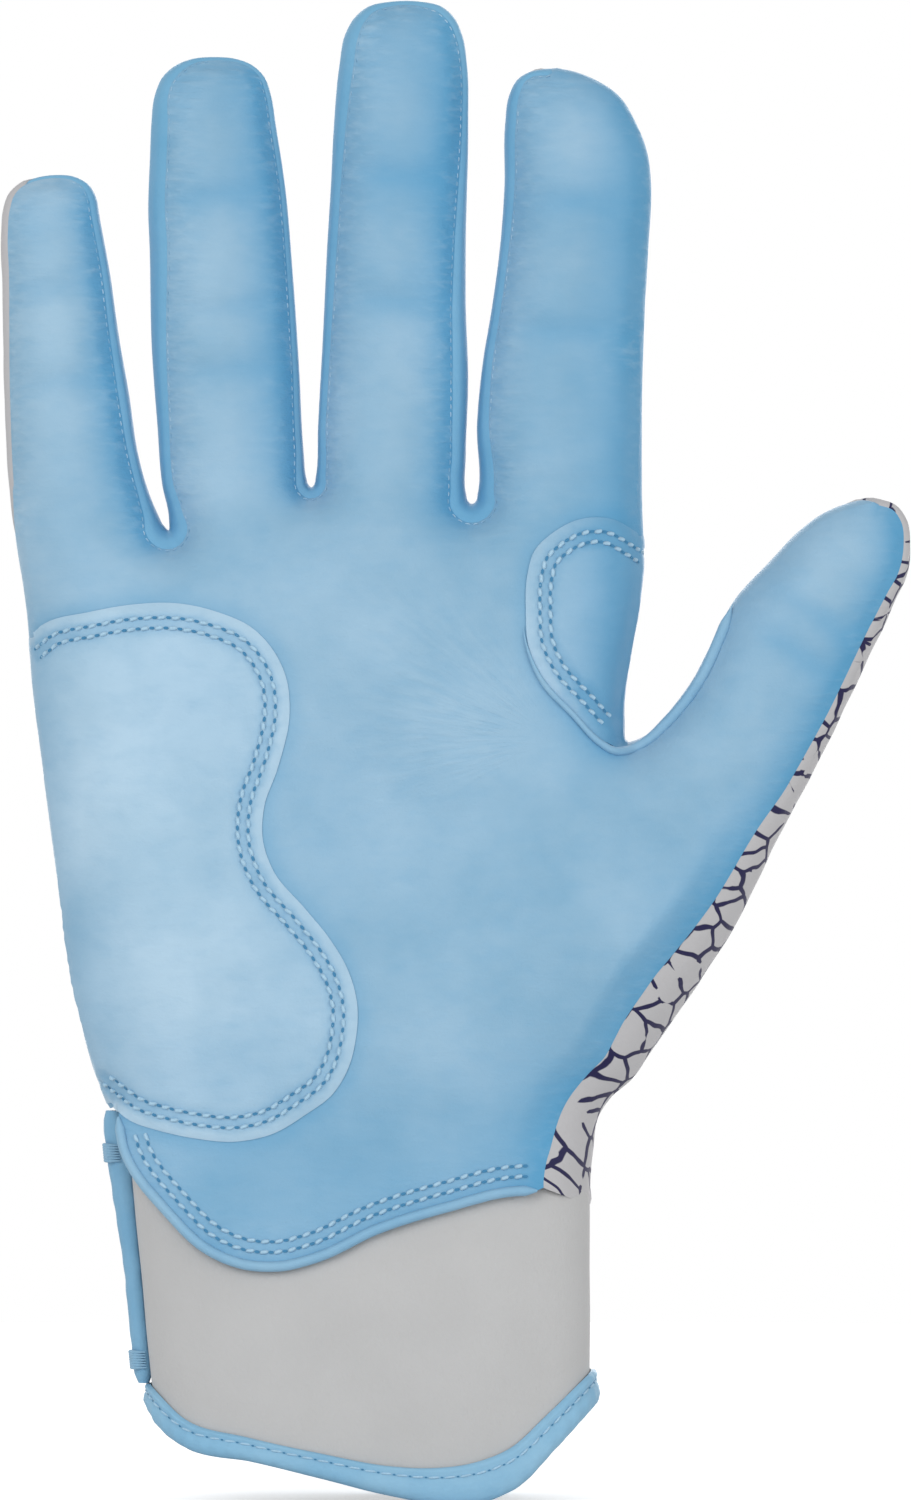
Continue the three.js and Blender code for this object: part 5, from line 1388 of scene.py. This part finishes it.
# Painted shade: the colour follows the pile's bumps, darker in their hollows, lighter on their tops.
lit = node(tree, "MapRange", {0: fuzz, 1: 0.3, 2: 0.7})
colour = node(tree, "Mix", {0: lit, 6: linear("#8d8f93"), 7: linear("#b0b1b4")}, 2, data_type="RGBA")
tree.links.new(colour, shader.inputs["Base Color"])
facing = node(tree, "Bump", {"Height": fuzz, "Distance": FUZZ_DEPTH * MM})
tree.links.new(facing, shader.inputs["Normal"])
tape_angles = wrist_angles((TAPE_X - TAPE_HALF, CUFF_DEPTH), (TAPE_X + TAPE_HALF, CUFF_DEPTH), TAPE_COUNT)
tape_z = np.linspace(TAPE_Z - TAPE_HALF, TAPE_Z + TAPE_HALF, TAPE_COUNT)
tape_tris = round_tris(TAPE_COUNT, TAPE_COUNT)


def tape_square(lift, pile):
    """A square of tape at this lift off the cuff, with its pile raised: the piece, points and facing."""
    tape = np.vstack([wrist_point(tape_angles, z, lift) for z in tape_z])
    flat = np.column_stack([tape[:, 0], tape[:, 2], np.full(len(tape), lift)])
    tape = tape + pile * ripple(flat, (PILE, PILE, 1))[:, None] * vertex_normals(tape, tape_tris)
    facing = vertex_normals(tape, tape_tris)
    piece = Piece()
    shell(piece, tape, facing, tape_tris, TAPE_THICK, hook_and_loop, thin=0.8)
    return piece, tape, facing


piece, tape, facing = tape_square(LOOP_LIFT, PILE_HEIGHT)
made = make("loop_tape", piece)
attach(made, "hand")
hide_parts("loop_patch")
piece, tape, facing = tape_square(HOOK_LIFT, 0.0)
inner = range(2, TAPE_COUNT - 2, HOOK_STEP)
for k in [r * TAPE_COUNT + c for c in inner for r in inner]:
    stem = tape[k] - TAPE_THICK * facing[k] - np.outer(HOOK_DOWN, facing[k]) + np.outer(HOOK_UP, (0, 0, 1))
    piping(piece, stem, np.tile((1.0, 0, 0), (len(stem), 1)), HOOK_HALF, hook_and_loop, 1.0)
made = make("hook_tape", piece)
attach(made, "strap")
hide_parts("hook_patch")

# The pull tab: a plate of soft rubber moulded in one, sewn on the strap's outer face to pull it open by.
# It has a raised rim, a sunk panel and four grip ribs across.
# The plate is a stack of rounded rings: how far in from the outline, and how deep.
TAB_X, TAB_Z, TAB_HALF, TAB_CORNER, TAB_BACK, TAB_FACE = -6.0, 36.6, (13.5, 12.0), 5.0, 21.3, 23.1
TAB_RINGS = ((0.4, TAB_BACK), (0.05, TAB_BACK + 0.35), (0.0, TAB_FACE - 0.6), (0.35, TAB_FACE - 0.15),
             (0.8, TAB_FACE), (1.7, TAB_FACE), (2.1, TAB_FACE - 0.15), (2.4, TAB_FACE - 0.55),
             (3.0, TAB_FACE - 0.6))
CORNER_STEPS, CORNER_LEAST = 10, 0.6
RIB_Z, RIB_HALF, RIB_THICK, RIB_FLAT, RIB_POINTS = (-5.4, -1.8, 1.8, 5.4), 8, 0.9, 0.55, 30
# Moulded soft rubber: a blue close to the leather's, a little shinier, with a fine stipple from the mould.
tab_rubber, tree, shader, rest = finish("moulded soft rubber", 0.48, specular=0.4)
FLECK, STIPPLE, STIPPLE_DEPTH = 1.2, 0.4, 0.04
fleck = node(tree, "TexNoise", {"Vector": rest, "Scale": 1 / FLECK})
flecked = node(tree, "MapRange", {0: fleck, 1: 0.3, 2: 0.7})
colour = node(tree, "Mix", {0: flecked, 6: linear("#84b2d0"), 7: linear("#7caccb")}, 2, data_type="RGBA")
tree.links.new(colour, shader.inputs["Base Color"])
stipple = node(tree, "TexNoise", {"Vector": rest, "Scale": 1 / STIPPLE})
facing = node(tree, "Bump", {"Height": stipple, "Distance": STIPPLE_DEPTH * MM})
tree.links.new(facing, shader.inputs["Normal"])


def tab_ring(within):
    """The tab's rounded outline, moved in by this much."""
    corner = max(TAB_CORNER - within, CORNER_LEAST)
    half_x, half_z = [half - within - corner for half in TAB_HALF]
    points = []
    for k, (sx, sz) in enumerate(((1, 1), (-1, 1), (-1, -1), (1, -1))):
        for q in range(CORNER_STEPS + 1):
            t = math.pi / 2 * (k + q / CORNER_STEPS)
            points.append((sx * half_x + corner * math.cos(t), sz * half_z + corner * math.sin(t)))
    return np.array(points)


plate = []
for within, y in TAB_RINGS:
    ring = tab_ring(within)
    plate.append(np.column_stack([TAB_X + ring[:, 0], np.full(len(ring), y), TAB_Z + ring[:, 1]]))
count, plate = len(ring), np.vstack(plate)
walls = []
for base in range(0, len(plate) - count, count):
    for k in range(count):
        a, b = base + k, base + (k + 1) % count
        walls.append((b, a, a + count, b + count))
tris = np.array([t for f in walls for t in ((f[0], f[1], f[2]), (f[0], f[2], f[3]))], int)
caps = [list(range(count)), list(range(len(plate) - count, len(plate)))[::-1]]
piece = Piece()
piece.add(plate, vertex_normals(plate, tris), walls + caps, tab_rubber)
for rise in RIB_Z:
    rib = np.full((RIB_POINTS, 3), (0.0, TAB_RINGS[-1][1], TAB_Z + rise))
    rib[:, 0] = np.linspace(TAB_X - RIB_HALF, TAB_X + RIB_HALF, RIB_POINTS)
    piping(piece, rib, np.tile((0.0, 1.0, 0.0), (RIB_POINTS, 1)), RIB_THICK, tab_rubber, RIB_FLAT)
made = make("moulded_pull_tab", piece)
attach(made, "strap")
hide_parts("pull_tab")

# The stage: a camera square to the palm as in the photograph, and a round white card for a floor.
# Three soft square lamps light it: a key from the left, a fill from the right and one behind.
# The room is white to the camera and in reflections, and dimmer as a light.
VIEW_X, VIEW_Z, VIEW_HEIGHT, CAMERA_BACK, SENSOR = 14.3, 122.4, 245.5, 1.6, 36
LAMPS = (("key", (-0.5, -1.0, 0.5), (0.01, 0, 0.12), 0.7, 5.2),
         ("fill", (0.95, -0.8, 0.30), (0.01, 0, 0.12), 0.9, 4.0),
         ("rear", (0.1, 1.4, 0.35), (0.01, 0, 0.10), 1.0, 7.5))
ROOM_LIGHT, FLOOR_RADIUS, FLOOR_SIDES, FLOOR_GAP, CARD_LIFT = 0.53, 0.5, 96, 0.2, 0.5
scene = bpy.context.scene
camera = bpy.data.objects.new("camera", bpy.data.cameras.new("camera"))
scene.collection.objects.link(camera)
camera.location = (VIEW_X * MM, -CAMERA_BACK, VIEW_Z * MM)
camera.rotation_euler = (math.radians(90), 0, 0)
camera.data.sensor_width = SENSOR
camera.data.lens = SENSOR / (VIEW_HEIGHT * MM / CAMERA_BACK)
scene.camera = camera
for name, place, aim, size, power in LAMPS:
    lamp = bpy.data.objects.new(name, bpy.data.lights.new(name, "AREA"))
    lamp.data.size = size
    lamp.data.energy = power
    lamp.location = place
    lamp.rotation_euler = (Vector(aim) - Vector(place)).to_track_quat("-Z", "Y").to_euler()
    scene.collection.objects.link(lamp)
scene.world = bpy.data.worlds.new("studio")
scene.world.use_nodes = True
tree = scene.world.node_tree
backdrop = tree.nodes["Background"]
backdrop.inputs["Color"].default_value = linear("#ffffff")
seen = node(tree, "LightPath", out="Is Camera Ray")
rays = seen.node.outputs
for ray in ("Is Glossy Ray", "Is Transmission Ray"):
    seen = node(tree, "Math", {0: seen, 1: rays[ray]}, operation="MAXIMUM")
tree.links.new(node(tree, "MapRange", {0: seen, 3: ROOM_LIGHT}), backdrop.inputs["Strength"])
floor_z = cad_low[2] - FLOOR_GAP * MM
turns = [2 * math.pi * k / FLOOR_SIDES for k in range(FLOOR_SIDES)]
rim = [(FLOOR_RADIUS * math.cos(t), FLOOR_RADIUS * math.sin(t), floor_z) for t in turns]
floor_mesh = bpy.data.meshes.new("floor")
floor_mesh.from_pydata(rim, [], [list(range(FLOOR_SIDES))])
floor = bpy.data.objects.new("floor", floor_mesh)
scene.collection.objects.link(floor)
# White card: lit like paper, and lifted to white for the camera so that only the shadow is left on it.
card, tree, shader, _ = finish("white card", 0.9, specular=0.1)
shader.inputs["Base Color"].default_value = linear("#f4f4f4")
shader.inputs["Emission Color"].default_value = linear("#ffffff")
lifted = node(tree, "MapRange", {0: node(tree, "LightPath", out="Is Camera Ray"), 4: CARD_LIFT})
tree.links.new(lifted, shader.inputs["Emission Strength"])
floor_mesh.materials.append(card)
scene.view_settings.view_transform = "Standard"
